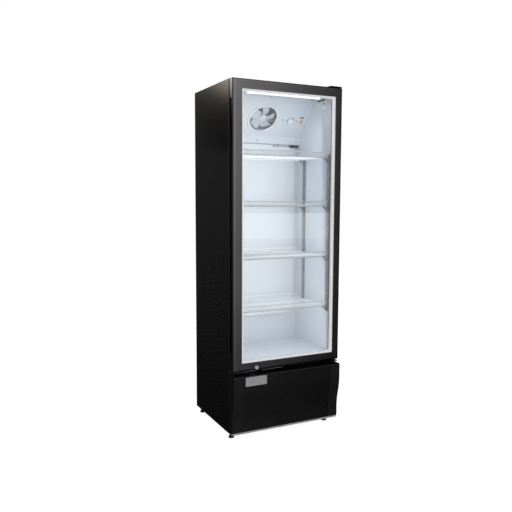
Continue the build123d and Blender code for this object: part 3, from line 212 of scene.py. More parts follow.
def vary(tree, shader, place, size, first, second):
    """Slow drift of the base colour between two sRGB hex codes, in patches size metres across."""
    noise = add_node(tree, "ShaderNodeTexNoise", {
        "Vector": place, "Scale": 1 / size, "Detail": 3.0,
    })
    ramp = add_node(tree, "ShaderNodeValToRGB", {"Fac": noise.outputs["Fac"]})
    ramp.color_ramp.elements[0].position = 0.35
    ramp.color_ramp.elements[1].position = 0.65
    ramp.color_ramp.elements[0].color = linear(first)
    ramp.color_ramp.elements[1].color = linear(second)
    tree.links.new(ramp.outputs["Color"], shader.inputs["Base Color"])


enamel, tree, shader, place = new_finish("black_stove_enamel", "0b0b0c", 0.24, Coat_Weight=0.5)
shader.inputs["Coat Roughness"].default_value = 0.12
roughen(tree, shader, place, 0.004, 0.23, 0.26, 0.000001)
vary(tree, shader, place, 0.35, "080809", "0c0b0b")


def dress(material, *nodes):
    """Gives CAD nodes a finish."""
    for node in nodes:
        piece = frame["nodes"][node]
        if not piece.material_slots:
            piece.data.materials.append(material)
        for slot in piece.material_slots:
            slot.material = material


dress(enamel, "left_side_panel", "right_side_panel", "top_panel", "rear_grille", "hinge_brackets")

# A strip of warm studio wall, high behind the latch side, that the side panel's upper front
# mirrors. It fades in from its lower edge and from its inner one.
strip_outer, strip_inner, strip_low, strip_high, strip_back = -2.3, -1.3, 1.7, 3.0, 2.6
wall_strip = bpy.data.meshes.new("wall_strip")
wall_strip.from_pydata([
    (strip_outer, strip_back, strip_low), (strip_inner, strip_back, strip_low),
    (strip_inner, strip_back, strip_high), (strip_outer, strip_back, strip_high),
], [], [(0, 1, 2, 3)])
strip = bpy.data.objects.new("wall_strip", wall_strip)
bpy.context.collection.objects.link(strip)
strip.visible_camera = False
strip.visible_diffuse = False
strip.visible_shadow = False
strip.visible_transmission = False
glow = bpy.data.materials.new("warm_wall_glow")
glow.use_nodes = True
glow.node_tree.nodes.clear()
tree = glow.node_tree
spot = add_node(tree, "ShaderNodeSeparateXYZ", {
    "Vector": add_node(tree, "ShaderNodeTexCoord").outputs["Object"],
})
up = add_node(tree, "ShaderNodeMapRange", {
    "Value": spot.outputs["Z"], "From Min": 2.15, "From Max": 2.55, "To Min": 0.0, "To Max": 1.0,
}, interpolation_type="SMOOTHSTEP")
across = add_node(tree, "ShaderNodeMapRange", {
    "Value": spot.outputs["X"],
    "From Min": strip_inner, "From Max": -1.55, "To Min": 0.0, "To Max": 5.0,
}, interpolation_type="SMOOTHSTEP")
both = add_node(tree, "ShaderNodeMath", {
    0: up.outputs["Result"], 1: across.outputs["Result"],
}, operation="MULTIPLY")
light = add_node(tree, "ShaderNodeEmission", {
    "Color": linear("e9dccf"), "Strength": both.outputs[0],
})
add_node(tree, "ShaderNodeOutputMaterial", {"Surface": light.outputs[0]})
wall_strip.materials.append(glow)

# ---------------------------------------------------------------- galvanised sheets
# Foam pan, back panel, condenser shroud and base tray: hot-dip galvanised sheet, folded. Zinc
# freezes in flat crystals, the spangle, 8 to 15 mm across, each mirroring a little differently.
galvanised, tree, shader, place = new_finish("galvanised_steel", "a9adb0", 0.42, Metallic=0.45)
crystal_size = 0.012
crystals = add_node(tree, "ShaderNodeTexVoronoi", {"Vector": place, "Scale": 1 / crystal_size})
grey = add_node(tree, "ShaderNodeSeparateColor", {"Color": crystals.outputs["Color"]})
spangle = add_node(tree, "ShaderNodeMapRange", {
    "Value": grey.outputs[0], "From Min": 0.0, "From Max": 1.0, "To Min": 0.32, "To Max": 0.5,
})
tree.links.new(spangle.outputs["Result"], shader.inputs["Roughness"])
tone = add_node(tree, "ShaderNodeValToRGB", {"Fac": grey.outputs[1]})
tone.color_ramp.elements[0].color = linear("999da0")
tone.color_ramp.elements[1].color = linear("b9bdbf")
tree.links.new(tone.outputs["Color"], shader.inputs["Base Color"])
dress(galvanised, "back_panel", "condenser_shroud")

# The pan's front flange, round the doorway, is stove enamelled with the rest of the front.
painted_pan = galvanised.copy()
painted_pan.name = "galvanised_steel_enamelled_front"
tree = painted_pan.node_tree
shader = tree.nodes["Principled BSDF"]
depth_axis = add_node(tree, "ShaderNodeSeparateXYZ", {
    "Vector": add_node(tree, "ShaderNodeTexCoord").outputs["Object"],
})
flange_depth = 0.03
flange_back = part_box("foam_pan")[0][1] + flange_depth
behind = add_node(
    tree, "ShaderNodeMath", {0: depth_axis.outputs["Y"], 1: flange_back}, operation="GREATER_THAN"
)
front_paint = add_node(tree, "ShaderNodeMix", {0: behind.outputs[0]}, data_type="RGBA")
front_paint.inputs[6].default_value = linear("0b0b0c")
tree.links.new(shader.inputs["Base Color"].links[0].from_socket, front_paint.inputs[7])
tree.links.new(front_paint.outputs[2], shader.inputs["Base Color"])
tree.links.new(behind.outputs[0], shader.inputs["Metallic"])
dress(painted_pan, "foam_pan")

# The base tray's zinc has weathered to a dull grey, which scatters light more than it mirrors it.
dull_zinc, tree, shader, place = new_finish("weathered_zinc", "a4a7a9", 0.6, Metallic=0.3)
roughen(tree, shader, place, 0.006, 0.52, 0.7, 0.00002)
vary(tree, shader, place, 0.04, "979a9c", "b0b3b5")
dress(dull_zinc, "base_tray")

# ---------------------------------------------------------------- insulation
# Polyurethane foam poured between the sheets and the liner: pale ochre, full of small cells.
foam, tree, shader, place = new_finish("polyurethane_foam", "d8c68c", 0.9)
roughen(tree, shader, place, 0.003, 0.82, 0.95, 0.0004)
vary(tree, shader, place, 0.08, "cdb97c", "e0d098")
dress(foam, "insulation_foam")

# ---------------------------------------------------------------- liner and evaporator cover
# White high-impact polystyrene, vacuum formed: a cool white with a soft gloss and a faint haircell
# grain, drawn at 2 mm because the real half-millimetre grain is too fine to show.
polystyrene, tree, shader, place = new_finish("white_polystyrene", "d6dce2", 0.34)
roughen(tree, shader, place, 0.002, 0.30, 0.42, 0.00003)
vary(tree, shader, place, 0.30, "d3d9e0", "dadfe4")
dress(polystyrene, "inner_liner", "evaporator_cover", "evaporator_drip_tray")

# ---------------------------------------------------------------- black mouldings
# The breaker frame round the doorway, the feet, the gland and other small mouldings: black ABS,
# injection moulded with a fine spark-eroded texture.
black_abs, tree, shader, place = new_finish("black_textured_abs", "131313", 0.5)
roughen(tree, shader, place, 0.0015, 0.42, 0.6, 0.00006)
feet = [f"levelling_foot_{end}_{side}" for end in ("front", "back") for side in ("left", "right")]
dress(black_abs, "breaker_frame", "cord_gland", "thermostat_body", "door_hinge_bushes", *feet)

# ---------------------------------------------------------------- kick panel and end caps
# Black ABS from a polished tool, so glossier than the textured mouldings, with a shallow flow
# ripple. The caps come from a satin tool.
kick_abs, tree, shader, place = new_finish("black_polished_abs", "0a0a0b", 0.3, Coat_Weight=0.3)
shader.inputs["Coat Roughness"].default_value = 0.2
roughen(tree, shader, place, 0.006, 0.26, 0.32, 0.000006)
dress(kick_abs, "kick_panel")
cap_abs, tree, shader, place = new_finish("black_satin_abs", "111112", 0.38)
roughen(tree, shader, place, 0.003, 0.34, 0.42, 0.00001)
dress(cap_abs, "kick_panel_end_caps")

# ---------------------------------------------------------------- badge plate
# A blank nameplate of brushed aluminium: grit lines along its length, 0.4 mm apart.
badge, tree, shader, place = new_finish("brushed_aluminium", "c3c4c6", 0.34, Metallic=0.55)
lengthwise = add_node(tree, "ShaderNodeMapping", {"Vector": place, "Scale": (25.0, 25.0, 2500.0)})
roughen(tree, shader, lengthwise.outputs["Vector"], 1.0, 0.26, 0.46, 0.00002)
vary(tree, shader, lengthwise.outputs["Vector"], 1.0, "b4b5b7", "cfd0d2")
dress(badge, "badge_plate")

# ---------------------------------------------------------------- compressor compartment
# The compressor shell is welded steel in thick black paint; motors are in zinc-plated cups.
shell_paint, tree, shader, place = new_finish("thick_black_paint", "0d0d0e", 0.35)
roughen(tree, shader, place, 0.004, 0.3, 0.5, 0.0001)
dress(shell_paint, "compressor")

rubber, tree, shader, place = new_finish("black_rubber", "17171a", 0.75)
roughen(tree, shader, place, 0.0015, 0.66, 0.85, 0.00006)
dress(rubber, "compressor_grommets")

zinc, tree, shader, place = new_finish("zinc_plated_steel", "b4b6b8", 0.36, Metallic=1.0)
roughen(tree, shader, place, 0.003, 0.3, 0.44, 0.00002)
vary(tree, shader, place, 0.03, "a8aaac", "c0c2c4")
dress(zinc, "condenser_fan_motor", "evaporator_fan_motor", "closer_torsion_rod")

grey_plastic, tree, shader, place = new_finish("grey_polypropylene", "6d7072", 0.5)
roughen(tree, shader, place, 0.003, 0.45, 0.6, 0.00004)
dress(grey_plastic, "condensate_tray", "electrical_box")

# The drain hose is ribbed polyethylene. The wave texture has about 3.15 bands to a unit of scale.
hose, tree, shader, place = new_finish("ribbed_hose", "4a4c4e", 0.55)
rib_pitch = 0.004
ribs = add_node(tree, "ShaderNodeTexWave", {
    "Vector": place, "Scale": 1 / (3.15 * rib_pitch),
}, bands_direction="Z")
rib = add_node(tree, "ShaderNodeBump", {"Height": ribs.outputs["Fac"], "Distance": 0.001})
tree.links.new(rib.outputs["Normal"], shader.inputs["Normal"])
dress(hose, "drain_hose")

# ---------------------------------------------------------------- coils and pipes
# Copper tube, drawn and part tarnished; the fins pressed on it are bare aluminium.
copper, tree, shader, place = new_finish("drawn_copper", "b8714a", 0.32, Metallic=1.0)
roughen(tree, shader, place, 0.006, 0.26, 0.42, 0.00002)
vary(tree, shader, place, 0.05, "a0603e", "c67f56")
dress(copper, "refrigerant_lines")


def finned(name, fin_low, fin_high):
    """Aluminium between two X values, where the fins are, and copper outside them. The fins are
    painted stripes: a painted highlight where the fin edges catch the light and painted shade in
    the dark gaps between. Real fins are 2.5 mm apart, and these stripes 6 mm."""
    stripe_pitch = 0.006
    material, tree, shader, place = new_finish(name, "c9ccce", 0.3, Metallic=1.0)
    roughen(tree, shader, place, 0.004, 0.26, 0.4, 0.00002)
    axes = add_node(tree, "ShaderNodeSeparateXYZ", {"Vector": place})
    past_low = add_node(tree, "ShaderNodeMath", {
        0: axes.outputs["X"], 1: fin_low,
    }, operation="GREATER_THAN")
    short_of_high = add_node(tree, "ShaderNodeMath", {
        0: axes.outputs["X"], 1: fin_high,
    }, operation="LESS_THAN")
    within = add_node(tree, "ShaderNodeMath", {
        0: past_low.outputs[0], 1: short_of_high.outputs[0],
    }, operation="MULTIPLY")
    metals = add_node(tree, "ShaderNodeMix", {0: within.outputs[0]}, data_type="RGBA")
    metals.inputs[6].default_value = linear("b8714a")
    stripes = add_node(tree, "ShaderNodeTexWave", {
        "Vector": place, "Scale": 1 / (stripe_pitch * 3.14),
    })
    # Painted highlight on the fin edges and painted shade in the gaps between them.
    painted_fin_highlight_and_shade = add_node(tree, "ShaderNodeValToRGB", {"Fac": stripes.outputs["Fac"]})
    painted_fin_highlight_and_shade.color_ramp.elements[0].position = 0.45
    painted_fin_highlight_and_shade.color_ramp.elements[1].position = 0.75
    painted_fin_highlight_and_shade.color_ramp.elements[0].color = linear("15181c")
    painted_fin_highlight_and_shade.color_ramp.elements[1].color = linear("c9ccce")
    tree.links.new(painted_fin_highlight_and_shade.outputs["Color"], metals.inputs[7])
    tree.links.new(metals.outputs[2], shader.inputs["Base Color"])
    return material


bend_reach = 0.021
for coil in ("condenser_coil", "evaporator_coil"):
    coil_low, coil_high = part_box(coil)
    dress(finned(f"{coil}_finned_tube_painted_fin_shade", coil_low[0] + bend_reach, coil_high[0] - bend_reach), coil)

# ---------------------------------------------------------------- fan wheels
# Axial wheels: a domed hub and five wide blades, each twisted flatter towards its tip and cambered
# like a shallow spoon. The evaporator's is moulded in pale grey plastic, the condenser's is pressed
# aluminium.


def mesh_piece(name, grids, body, material):
    """A piece from grids of points (rows, columns, 3). Columns always close on themselves.

    A grid whose first and last rows are each one point, or one line folded double, is a closed
    skin once its doubles are merged. Rows close on themselves too where rows_close is true.
    """
    points, faces, start = [], [], 0
    for grid, rows_close in grids:
        rows, columns = grid.shape[:2]
        index = np.arange(rows * columns).reshape(rows, columns) + start
        below = index if rows_close else index[:-1]
        above = np.roll(index, -1, 0) if rows_close else index[1:]
        quads = np.stack(
            [below, np.roll(below, -1, 1), np.roll(above, -1, 1), above], axis=-1
        ).reshape(-1, 4)
        points.append(grid.reshape(-1, 3))
        faces.append(quads)
        start += rows * columns
    mesh = bpy.data.meshes.new(name)
    mesh.from_pydata(np.concatenate(points).tolist(), [], np.concatenate(faces).tolist())
    skin = bmesh.new()
    skin.from_mesh(mesh)
    bmesh.ops.remove_doubles(skin, verts=skin.verts, dist=1e-7)
    bmesh.ops.recalc_face_normals(skin, faces=skin.faces)
    skin.to_mesh(mesh)
    skin.free()
    mesh.materials.append(material)
    mesh.shade_smooth()
    piece = bpy.data.objects.new(name, mesh)
    bpy.context.collection.objects.link(piece)
    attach(piece, body)
    return piece


def axes_of(normal, across=(1, 0, 0)):
    """Unit vectors across, up and out of a face with that outward normal, as rows of a matrix."""
    out = np.array(normal) / np.linalg.norm(normal)
    side = np.array(across, dtype=float)
    side -= out * side.dot(out)
    side /= np.linalg.norm(side)
    return np.stack([side, np.cross(out, side), out])


def turned(profile, steps):
    """Surface of revolution: a profile of (radius, height) rows, turned in equal steps."""
    angle = np.linspace(0, 2 * np.pi, steps, endpoint=False)
    radius, level = profile[:, 0, None], profile[:, 1, None]
    return np.stack([radius * np.cos(angle), radius * np.sin(angle), level + 0 * angle], axis=-1)


def fan_grids(radius, hub_radius, hub_length, chord, pitch, twist, blades, thickness):
    """Hub: |r/R|^6 + |h/H|^6 = 1 turned about the axis. Blade: rows from root to tip, and a loop
    round its section. A point's arc from the blade's middle, leant by the pitch less the twist,
    gives its angle (arc times cosine over radius) and its height (arc times sine), less a parabola
    of camber. Its thickness is a sine round the loop, thinned to nothing at root and tip."""
    sweep = np.linspace(0, np.pi, 25)
    corner = np.stack([
        hub_radius * np.abs(np.sin(sweep)) ** (1 / 3),
        hub_length / 2 * np.sign(np.cos(sweep)) * np.abs(np.cos(sweep)) ** (1 / 3),
    ], axis=-1)
    grids = [(turned(corner, 40), False)]
    along = np.linspace(0, 1, 18)[:, None]
    loop = np.linspace(0, 2 * np.pi, 32, endpoint=False)[None, :]
    share = (1 - np.cos(loop)) / 2
    reach = hub_radius * 0.9 + (radius - hub_radius * 0.9) * along
    tip = np.clip((1 - along) * 8, 0, 1) ** 0.5
    width = chord * (0.72 + 0.5 * along - 0.25 * along ** 3) * (0.80 + 0.20 * tip)
    arc = (share - 0.5) * width
    lean = np.radians(pitch - twist * along)
    camber = 0.09 * width * (1 - (2 * share - 1) ** 2)
    swell = thickness * np.sin(loop) * np.clip(along * 12, 0, 1) * np.clip((1 - along) * 12, 0, 1)
    level = arc * np.sin(lean) - camber + swell
    for blade in range(blades):
        angle = 2 * np.pi * blade / blades + 0.35 * along + arc * np.cos(lean) / reach
        points = np.stack([reach * np.cos(angle), reach * np.sin(angle), level], axis=-1)
        grids.append((points, False))
    return grids


def placed(grids, centre, axes):
    """Grids moved from their own axes to the frame's."""
    return [(grid @ axes + np.array(centre), rows_close) for grid, rows_close in grids]


joint_places = {joint["name"]: joint for joint in frame["record"]["behaviour"]["joints"]}

fan_plastic, tree, shader, place = new_finish("pale_grey_polypropylene", "c9ced4", 0.36)
roughen(tree, shader, place, 0.004, 0.32, 0.44, 0.00003)
spin = joint_places["evaporator_fan_spin"]
cover_out = np.array(spin["axis"]) / np.linalg.norm(spin["axis"])
cover_axes = axes_of(cover_out)
cover_fan_centre = np.array(spin["pos_m"])
wheel_behind_pivot = 0.010
evaporator_blades = fan_grids(
    radius=0.0705, hub_radius=0.021, hub_length=0.018,
    chord=0.052, pitch=26, twist=8, blades=5, thickness=0.0011,
)
evaporator_wheel = mesh_piece(
    "evaporator_fan_wheel",
    placed(evaporator_blades, cover_fan_centre - wheel_behind_pivot * cover_out, cover_axes),
    "evaporator_fan_wheel", fan_plastic,
)
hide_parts("evaporator_fan")

pressed_aluminium, tree, shader, place = new_finish(
    "pressed_aluminium", "c4c7c9", 0.34, Metallic=1.0
)
roughen(tree, shader, place, 0.005, 0.3, 0.42, 0.00003)
spin = joint_places["condenser_fan_spin"]
wheel_behind_front = 0.025
condenser_centre = np.array(spin["pos_m"])
condenser_centre[1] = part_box("condenser_fan")[0][1] + wheel_behind_front
condenser_blades = fan_grids(
    radius=0.0795, hub_radius=0.018, hub_length=0.024,
    chord=0.062, pitch=28, twist=8, blades=5, thickness=0.0010,
)
condenser_wheel = mesh_piece(
    "condenser_fan_wheel",
    placed(condenser_blades, condenser_centre, axes_of((0, -1, 0))),
    "condenser_fan_wheel", pressed_aluminium,
)
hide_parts("condenser_fan")

# ---------------------------------------------------------------- thermostat and its scale
# A white fluted knob on the sloping cover. The scale printed round it is a wedge that widens
# towards cold, open at the bottom; it is a film 0.2 mm thick.
white_abs, tree, shader, place = new_finish("white_abs", "e9ecee", 0.3)
roughen(tree, shader, place, 0.002, 0.26, 0.36, 0.00002)
dress(white_abs, "thermostat_dial", "light_switch_body")

grey_ink, tree, shader, place = new_finish("grey_printing_ink", "6c737a", 0.5)
roughen(tree, shader, place, 0.002, 0.45, 0.6, 0.00001)


def arc_band(inner, first_width, last_width, start, end, lift):
    """A flat band round a circle whose width grows with the angle; its section is a thin
    rectangle, drawn in to its middle at both ends."""
    share = np.linspace(0, 1, 60)[:, None]
    angle = np.radians(start + (end - start) * share)
    width = first_width + (last_width - first_width) * share
    side = np.array([0, 1, 1, 0])[None, :]
    level = np.array([0, 0, 1, 1])[None, :] * lift
    shut = np.where((share == 0) | (share == 1), 0.0, 1.0)
    radius = inner + width * (0.5 + (side - 0.5) * shut)
    flat = lift / 2 + (level - lift / 2) * shut
    return np.stack([radius * np.cos(angle), radius * np.sin(angle), flat + 0 * angle], axis=-1)


dial_centre = np.array(joint_places["thermostat_turn"]["pos_m"])
dial_wedge = arc_band(
    inner=0.0192, first_width=0.0022, last_width=0.0034, start=245, end=-65, lift=0.0002
)
mesh_piece(
    "thermostat_scale", placed([(dial_wedge, False)], dial_centre, cover_axes),
    "cabinet", grey_ink,
)

# ---------------------------------------------------------------- light switch
# A lit amber rocker in a white bezel, with a small grey rating plate above it, left blank.
amber, tree, shader, place = new_finish(
    "amber_polycarbonate", "c9801f", 0.2, IOR=1.58, Emission_Strength=0.15
)
shader.inputs["Emission Color"].default_value = linear("d58a28")
vary(tree, shader, place, 0.01, "bd7419", "d68d2c")
dress(amber, "light_switch_rocker")


def plate(half_width, half_height, lift, bevel, power=8):
    """A thin plate with rounded corners: |x/a|^p + |y/b|^p = 1 for its edge, raised to lift with a
    bevel, and drawn in to one point at the middle of both faces."""
    angle = np.linspace(0, 2 * np.pi, 64, endpoint=False)
    cos, sin = np.cos(angle), np.sin(angle)
    size = (np.abs(cos) ** power + np.abs(sin) ** power) ** (-1 / power)
    rings = []
    for shrink, level in ((None, 0), (0, 0), (0, lift - bevel), (bevel, lift), (None, lift)):
        share = 0 if shrink is None else 1
        trim = shrink or 0
        rings.append(np.stack([
            share * (half_width - trim) * size * cos,
            share * (half_height - trim) * size * sin,
            np.full_like(angle, level),
        ], axis=-1))
    return np.stack(rings)


def flat_shaded(piece):
    """Sharp edges where faces meet at more than 30 degrees."""
    piece.data.set_sharp_from_angle(angle=math.radians(30))


rocker_pivot = np.array(joint_places["light_rocker"]["pos_m"])
plate_left, plate_up, plate_out = 0.003, 0.0255, 0.003
plate_centre = rocker_pivot + np.array([-plate_left, plate_up, plate_out]) @ cover_axes
blank_plate = plate(half_width=0.011, half_height=0.006, lift=0.0006, bevel=0.0002)
rating_plate = mesh_piece(
    "switch_rating_plate", placed([(blank_plate, False)], plate_centre, cover_axes),
    "cabinet", grey_plastic,
)
flat_shaded(rating_plate)

# ---------------------------------------------------------------- wall label
# A blank service label on the hinge-side wall, high up: white film with a dark heading bar, a few
# ruled lines and a dark round mark.
wall_thickness = 0.0015
wall_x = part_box("inner_liner")[1][0] - wall_thickness
label_y, label_z = -0.103, 1.7185
heading_rise, rule_pitch, rule_thickness = 0.017, 0.006, 0.0012
mark_back, mark_up, mark_radius = 0.022, 0.004, 0.007
rules_front = 0.004
label_film, tree, shader, place = new_finish("label_film", "f4f5f5", 0.35)
spot = add_node(tree, "ShaderNodeSeparateXYZ", {"Vector": place})
heading = add_node(tree, "ShaderNodeMath", {
    0: spot.outputs["Z"], 1: label_z + heading_rise,
}, operation="GREATER_THAN")
rules = add_node(tree, "ShaderNodeMath", {
    0: spot.outputs["Z"], 1: rule_pitch, 2: 0.0,
}, operation="WRAP")
ruled = add_node(tree, "ShaderNodeMath", {
    0: rules.outputs[0], 1: rule_thickness,
}, operation="LESS_THAN")
inside = add_node(tree, "ShaderNodeMath", {
    0: spot.outputs["Y"], 1: label_y - rules_front,
}, operation="GREATER_THAN")
lines = add_node(tree, "ShaderNodeMath", {
    0: ruled.outputs[0], 1: inside.outputs[0],
}, operation="MULTIPLY")
distance = add_node(tree, "ShaderNodeVectorMath", {
    0: place, 1: (wall_x, label_y - mark_back, label_z + mark_up),
}, operation="DISTANCE")
mark = add_node(tree, "ShaderNodeMath", {
    0: distance.outputs["Value"], 1: mark_radius,
}, operation="LESS_THAN")
dark = add_node(tree, "ShaderNodeMath", {
    0: heading.outputs[0], 1: mark.outputs[0],
}, operation="MAXIMUM")
ruled_film = add_node(tree, "ShaderNodeMix", {0: lines.outputs[0]}, data_type="RGBA")
ruled_film.inputs[6].default_value = linear("f4f5f5")
ruled_film.inputs[7].default_value = linear("7f858b")
printed = add_node(tree, "ShaderNodeMix", {0: dark.outputs[0]}, data_type="RGBA")
tree.links.new(ruled_film.outputs[2], printed.inputs[6])
printed.inputs[7].default_value = linear("3a3d42")
tree.links.new(printed.outputs[2], shader.inputs["Base Color"])
film = plate(half_width=0.038, half_height=0.0285, lift=0.0003, bevel=0.0001, power=14)
label = mesh_piece(
    "service_label",
    placed([(film, False)], (wall_x, label_y, label_z), axes_of((-1, 0, 0), (0, -1, 0))),
    "cabinet", label_film,
)
flat_shaded(label)

# ---------------------------------------------------------------- return air louvre
# A small black louvre under the cover beside the hinge-side wall: upright slats, 5 mm apart.
cover_low, cover_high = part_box("evaporator_cover")
duct_low, duct_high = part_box("air_duct_panel")


def louvre(left, right, back, front, low, high, pitch):
    """A bar along X whose front is a row of ridges: its depth at X is a sine squared of that
    pitch. The section is a rectangle, drawn in to its middle at both ends."""
    share = np.linspace(0, 1, 90)[:, None]
    x = left + (right - left) * share
    ridge = np.sin(np.pi * (x - left) / pitch) ** 2
    shut = np.where((share == 0) | (share == 1), 0.0, 1.0)
    rear, face = 0 * ridge + back, front + 0.5 * (back - front) * ridge
    depth = np.concatenate([rear, rear, face, face], axis=1)
    level = np.concatenate([low + 0 * x, high + 0 * x, high + 0 * x, low + 0 * x], axis=1)
    middle_y, middle_z = (back + front) / 2, (low + high) / 2
    return np.stack([
        x + 0 * depth, middle_y + (depth - middle_y) * shut, middle_z + (level - middle_z) * shut
    ], axis=-1)


slats = louvre(
    left=cover_high[0] - 0.055, right=cover_high[0] - 0.001,
    back=duct_low[1] - 0.0002, front=duct_low[1] - 0.010,
    low=cover_low[2] - 0.016, high=cover_low[2] - 0.001, pitch=0.005,
)
air_louvre = mesh_piece(
    "return_air_louvre", [(slats, False)], "cabinet", black_abs
)
flat_shaded(air_louvre)

# ---------------------------------------------------------------- duct screen
# Black mesh behind the first two air slots of the duct panel, clipped inside its front wall. It is
# painted shade: a dark sheet that stands in for the shade inside those slots.
duct_wall = 0.0020
front_wall_back = duct_low[1] + duct_wall
shade_strands = louvre(
    left=0.1120, right=0.1580, back=front_wall_back + 0.0016, front=front_wall_back + 0.0002,
    low=duct_high[2] - 0.0125, high=duct_high[2] - 0.0015, pitch=0.0025,
)
# Painted shade: the black mesh darkens the two slots as their shade would.
dark_slot_backing = mesh_piece(
    "air_slot_shade_backing", [(shade_strands, False)], "cabinet", black_abs
)
flat_shaded(dark_slot_backing)

# ---------------------------------------------------------------- light bar
# A steel channel with a frosted acrylic lens over fourteen white LEDs, soft bright spots. One lamp
# under it lights what the LEDs do, and an unseen one in the cabinet is what the white walls return.
channel_paint, tree, shader, place = new_finish("white_powder_coat", "e1e5e9", 0.45)
roughen(tree, shader, place, 0.002, 0.40, 0.52, 0.00004)
dress(channel_paint, "light_channel", "air_duct_panel")

lens_low, lens_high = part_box("light_lens")
led_count = 14
led_pitch = (lens_high[0] - lens_low[0]) / led_count
diffuser, tree, shader, place = new_finish("frosted_acrylic_lit", "f7fbff", 0.4)
shader.inputs["Emission Color"].default_value = linear("f2f8ff")
axes = add_node(tree, "ShaderNodeSeparateXYZ", {"Vector": place})
turns = add_node(tree, "ShaderNodeMath", {
    0: axes.outputs["X"], 1: 2 * math.pi / led_pitch,
}, operation="MULTIPLY")
wave = add_node(tree, "ShaderNodeMath", {0: turns.outputs[0]}, operation="COSINE")
bright = add_node(tree, "ShaderNodeMapRange", {
    "Value": wave.outputs[0], "From Min": 1.0, "From Max": -1.0, "To Min": 1.6, "To Max": 4.6,
})
tree.links.new(bright.outputs["Result"], shader.inputs["Emission Strength"])
dress(diffuser, "light_lens")
lamp(
    "light_bar_glow", (0, lens_low[1] + 0.009, lens_low[2] - 0.004), (0, 0.02, 0.4),
    width=0.42, tall=0.02, watts=0.16, colour="f6f9ff",
)
bounce = lamp(
    "interior_bounce", (0, -0.16, 1.02), (0, 0.16, 1.0),
    width=0.50, tall=1.25, watts=2.1, colour="f6f9ff",
)
bounce.visible_transmission = False

# ---------------------------------------------------------------- pilasters and clips
# Slotted steel strips riveted to the liner, and spring-steel clips that hook in their slots. Both,
# and the lock's keeper, are zinc plated and passivated to a darker, satin grey.
satin_zinc, tree, shader, place = new_finish("passivated_zinc", "8d9194", 0.42, Metallic=0.7)
roughen(tree, shader, place, 0.004, 0.36, 0.5, 0.00002)
vary(tree, shader, place, 0.03, "80848a", "999da0")
dress(satin_zinc, "shelf_pilasters", "shelf_clips", "lock_keeper")

# ---------------------------------------------------------------- shelves
# Welded steel wire dipped in white polyethylene, which rounds every joint and is slightly glossy.
dipped_wire, tree, shader, place = new_finish(
    "white_polyethylene_dip", "fafbfc", 0.32, Coat_Weight=0.15
)
roughen(tree, shader, place, 0.003, 0.26, 0.4, 0.00005)
dress(dipped_wire, "shelf_1", "shelf_2", "shelf_3", "shelf_4")

# ---------------------------------------------------------------- door frame
# Extruded aluminium, mitred at the corners and anodised black: a dark metal with fine die lines
# along each member, drawn 1.5 mm apart.


def extruded(name, stretch):
    """Anodised black aluminium with die lines along one axis; stretch is the lines per metre on
    each axis."""
    material, tree, shader, place = new_finish(name, "828084", 0.3, Metallic=1.0)
    lines = add_node(tree, "ShaderNodeMapping", {"Vector": place, "Scale": stretch})
    roughen(tree, shader, lines.outputs["Vector"], 1.0, 0.18, 0.26, 0.000004)
    vary(tree, shader, place, 0.4, "7b797d", "8a888b")
    return material


upright_lines = extruded("black_anodised_upright", (650.0, 650.0, 4.0))
level_lines = extruded("black_anodised_rail", (4.0, 650.0, 650.0))
dress(upright_lines, "door_left_stile", "door_right_stile")
dress(level_lines, "door_top_rail", "door_bottom_rail")

# ---------------------------------------------------------------- glazing
# Two float glass panes with a bright aluminium spacer between them. The spacer's face is matt and
# pierced by two rows of pinholes, 3 mm apart, over its drying beads. It also has a faint white
# glow, painted light that makes it brighter though it is no lamp.
glass, tree, shader, _ = new_finish(
    "float_glass", "fdfefe", 0.0, Transmission_Weight=1.0, IOR=1.5
)
clear = add_node(tree, "ShaderNodeBsdfTransparent", {"Color": linear("fdfefe")})
rays = add_node(tree, "ShaderNodeLightPath")
pane = add_node(tree, "ShaderNodeMixShader", {
    0: rays.outputs["Is Shadow Ray"], 1: shader.outputs[0], 2: clear.outputs[0],
})
tree.links.new(pane.outputs[0], tree.nodes["Material Output"].inputs["Surface"])
dress(glass, "glass_panes")

# Painted light: the spacer is no lamp, but its faint white emission brightens it.
spacer, tree, shader, place = new_finish(
    "matt_aluminium_spacer_painted_glow", "f4f4f4", 0.5, Metallic=0.05, Emission_Strength=0.2
)
shader.inputs["Emission Color"].default_value = linear("ffffff")
hole_pitch = 0.003
holes = add_node(tree, "ShaderNodeTexVoronoi", {
    "Vector": place, "Scale": 1 / hole_pitch, "Randomness": 0.0,
})
pin = add_node(tree, "ShaderNodeMapRange", {
    "Value": holes.outputs["Distance"],
    "From Min": 0.10, "From Max": 0.2, "To Min": 0.0, "To Max": 1.0,
})
pierced = add_node(tree, "ShaderNodeMix", {0: pin.outputs["Result"]}, data_type="RGBA")
pierced.inputs[6].default_value = linear("c4c6c8")
pierced.inputs[7].default_value = linear("f7f7f7")
tree.links.new(pierced.outputs[2], shader.inputs["Base Color"])
dress(spacer, "glass_spacer")

# ---------------------------------------------------------------- door gasket
# Extruded black PVC: a pleated bellows on the door and a box that holds the magnet strip against
# the cabinet. It is welded at the four mitred corners.
gasket_low, gasket_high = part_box("door_gasket")
gasket_width = 0.011
gasket_depth = gasket_high[1] - gasket_low[1]
pleat_depth = 0.0021
magnet_share = 0.66


def gasket_profile():
    """Closed section, (inset from the outer edge, depth from the door): both sides go in and out by
    half a cosine twice over the bellows, and stay straight along the magnet box."""
    share = np.linspace(0, 1, 28)
    pleat = np.where(
        share < magnet_share,
        pleat_depth * (1 - np.cos(4 * np.pi * share / magnet_share)) / 2,
        0.0003 + 0.0008 * np.clip((share - 0.9) / 0.1, 0, 1) ** 2,
    )
    outer = np.stack([pleat, share * gasket_depth], axis=-1)
    inner = np.stack([gasket_width - pleat, share * gasket_depth], axis=-1)
    return np.concatenate([outer, inner[::-1]])


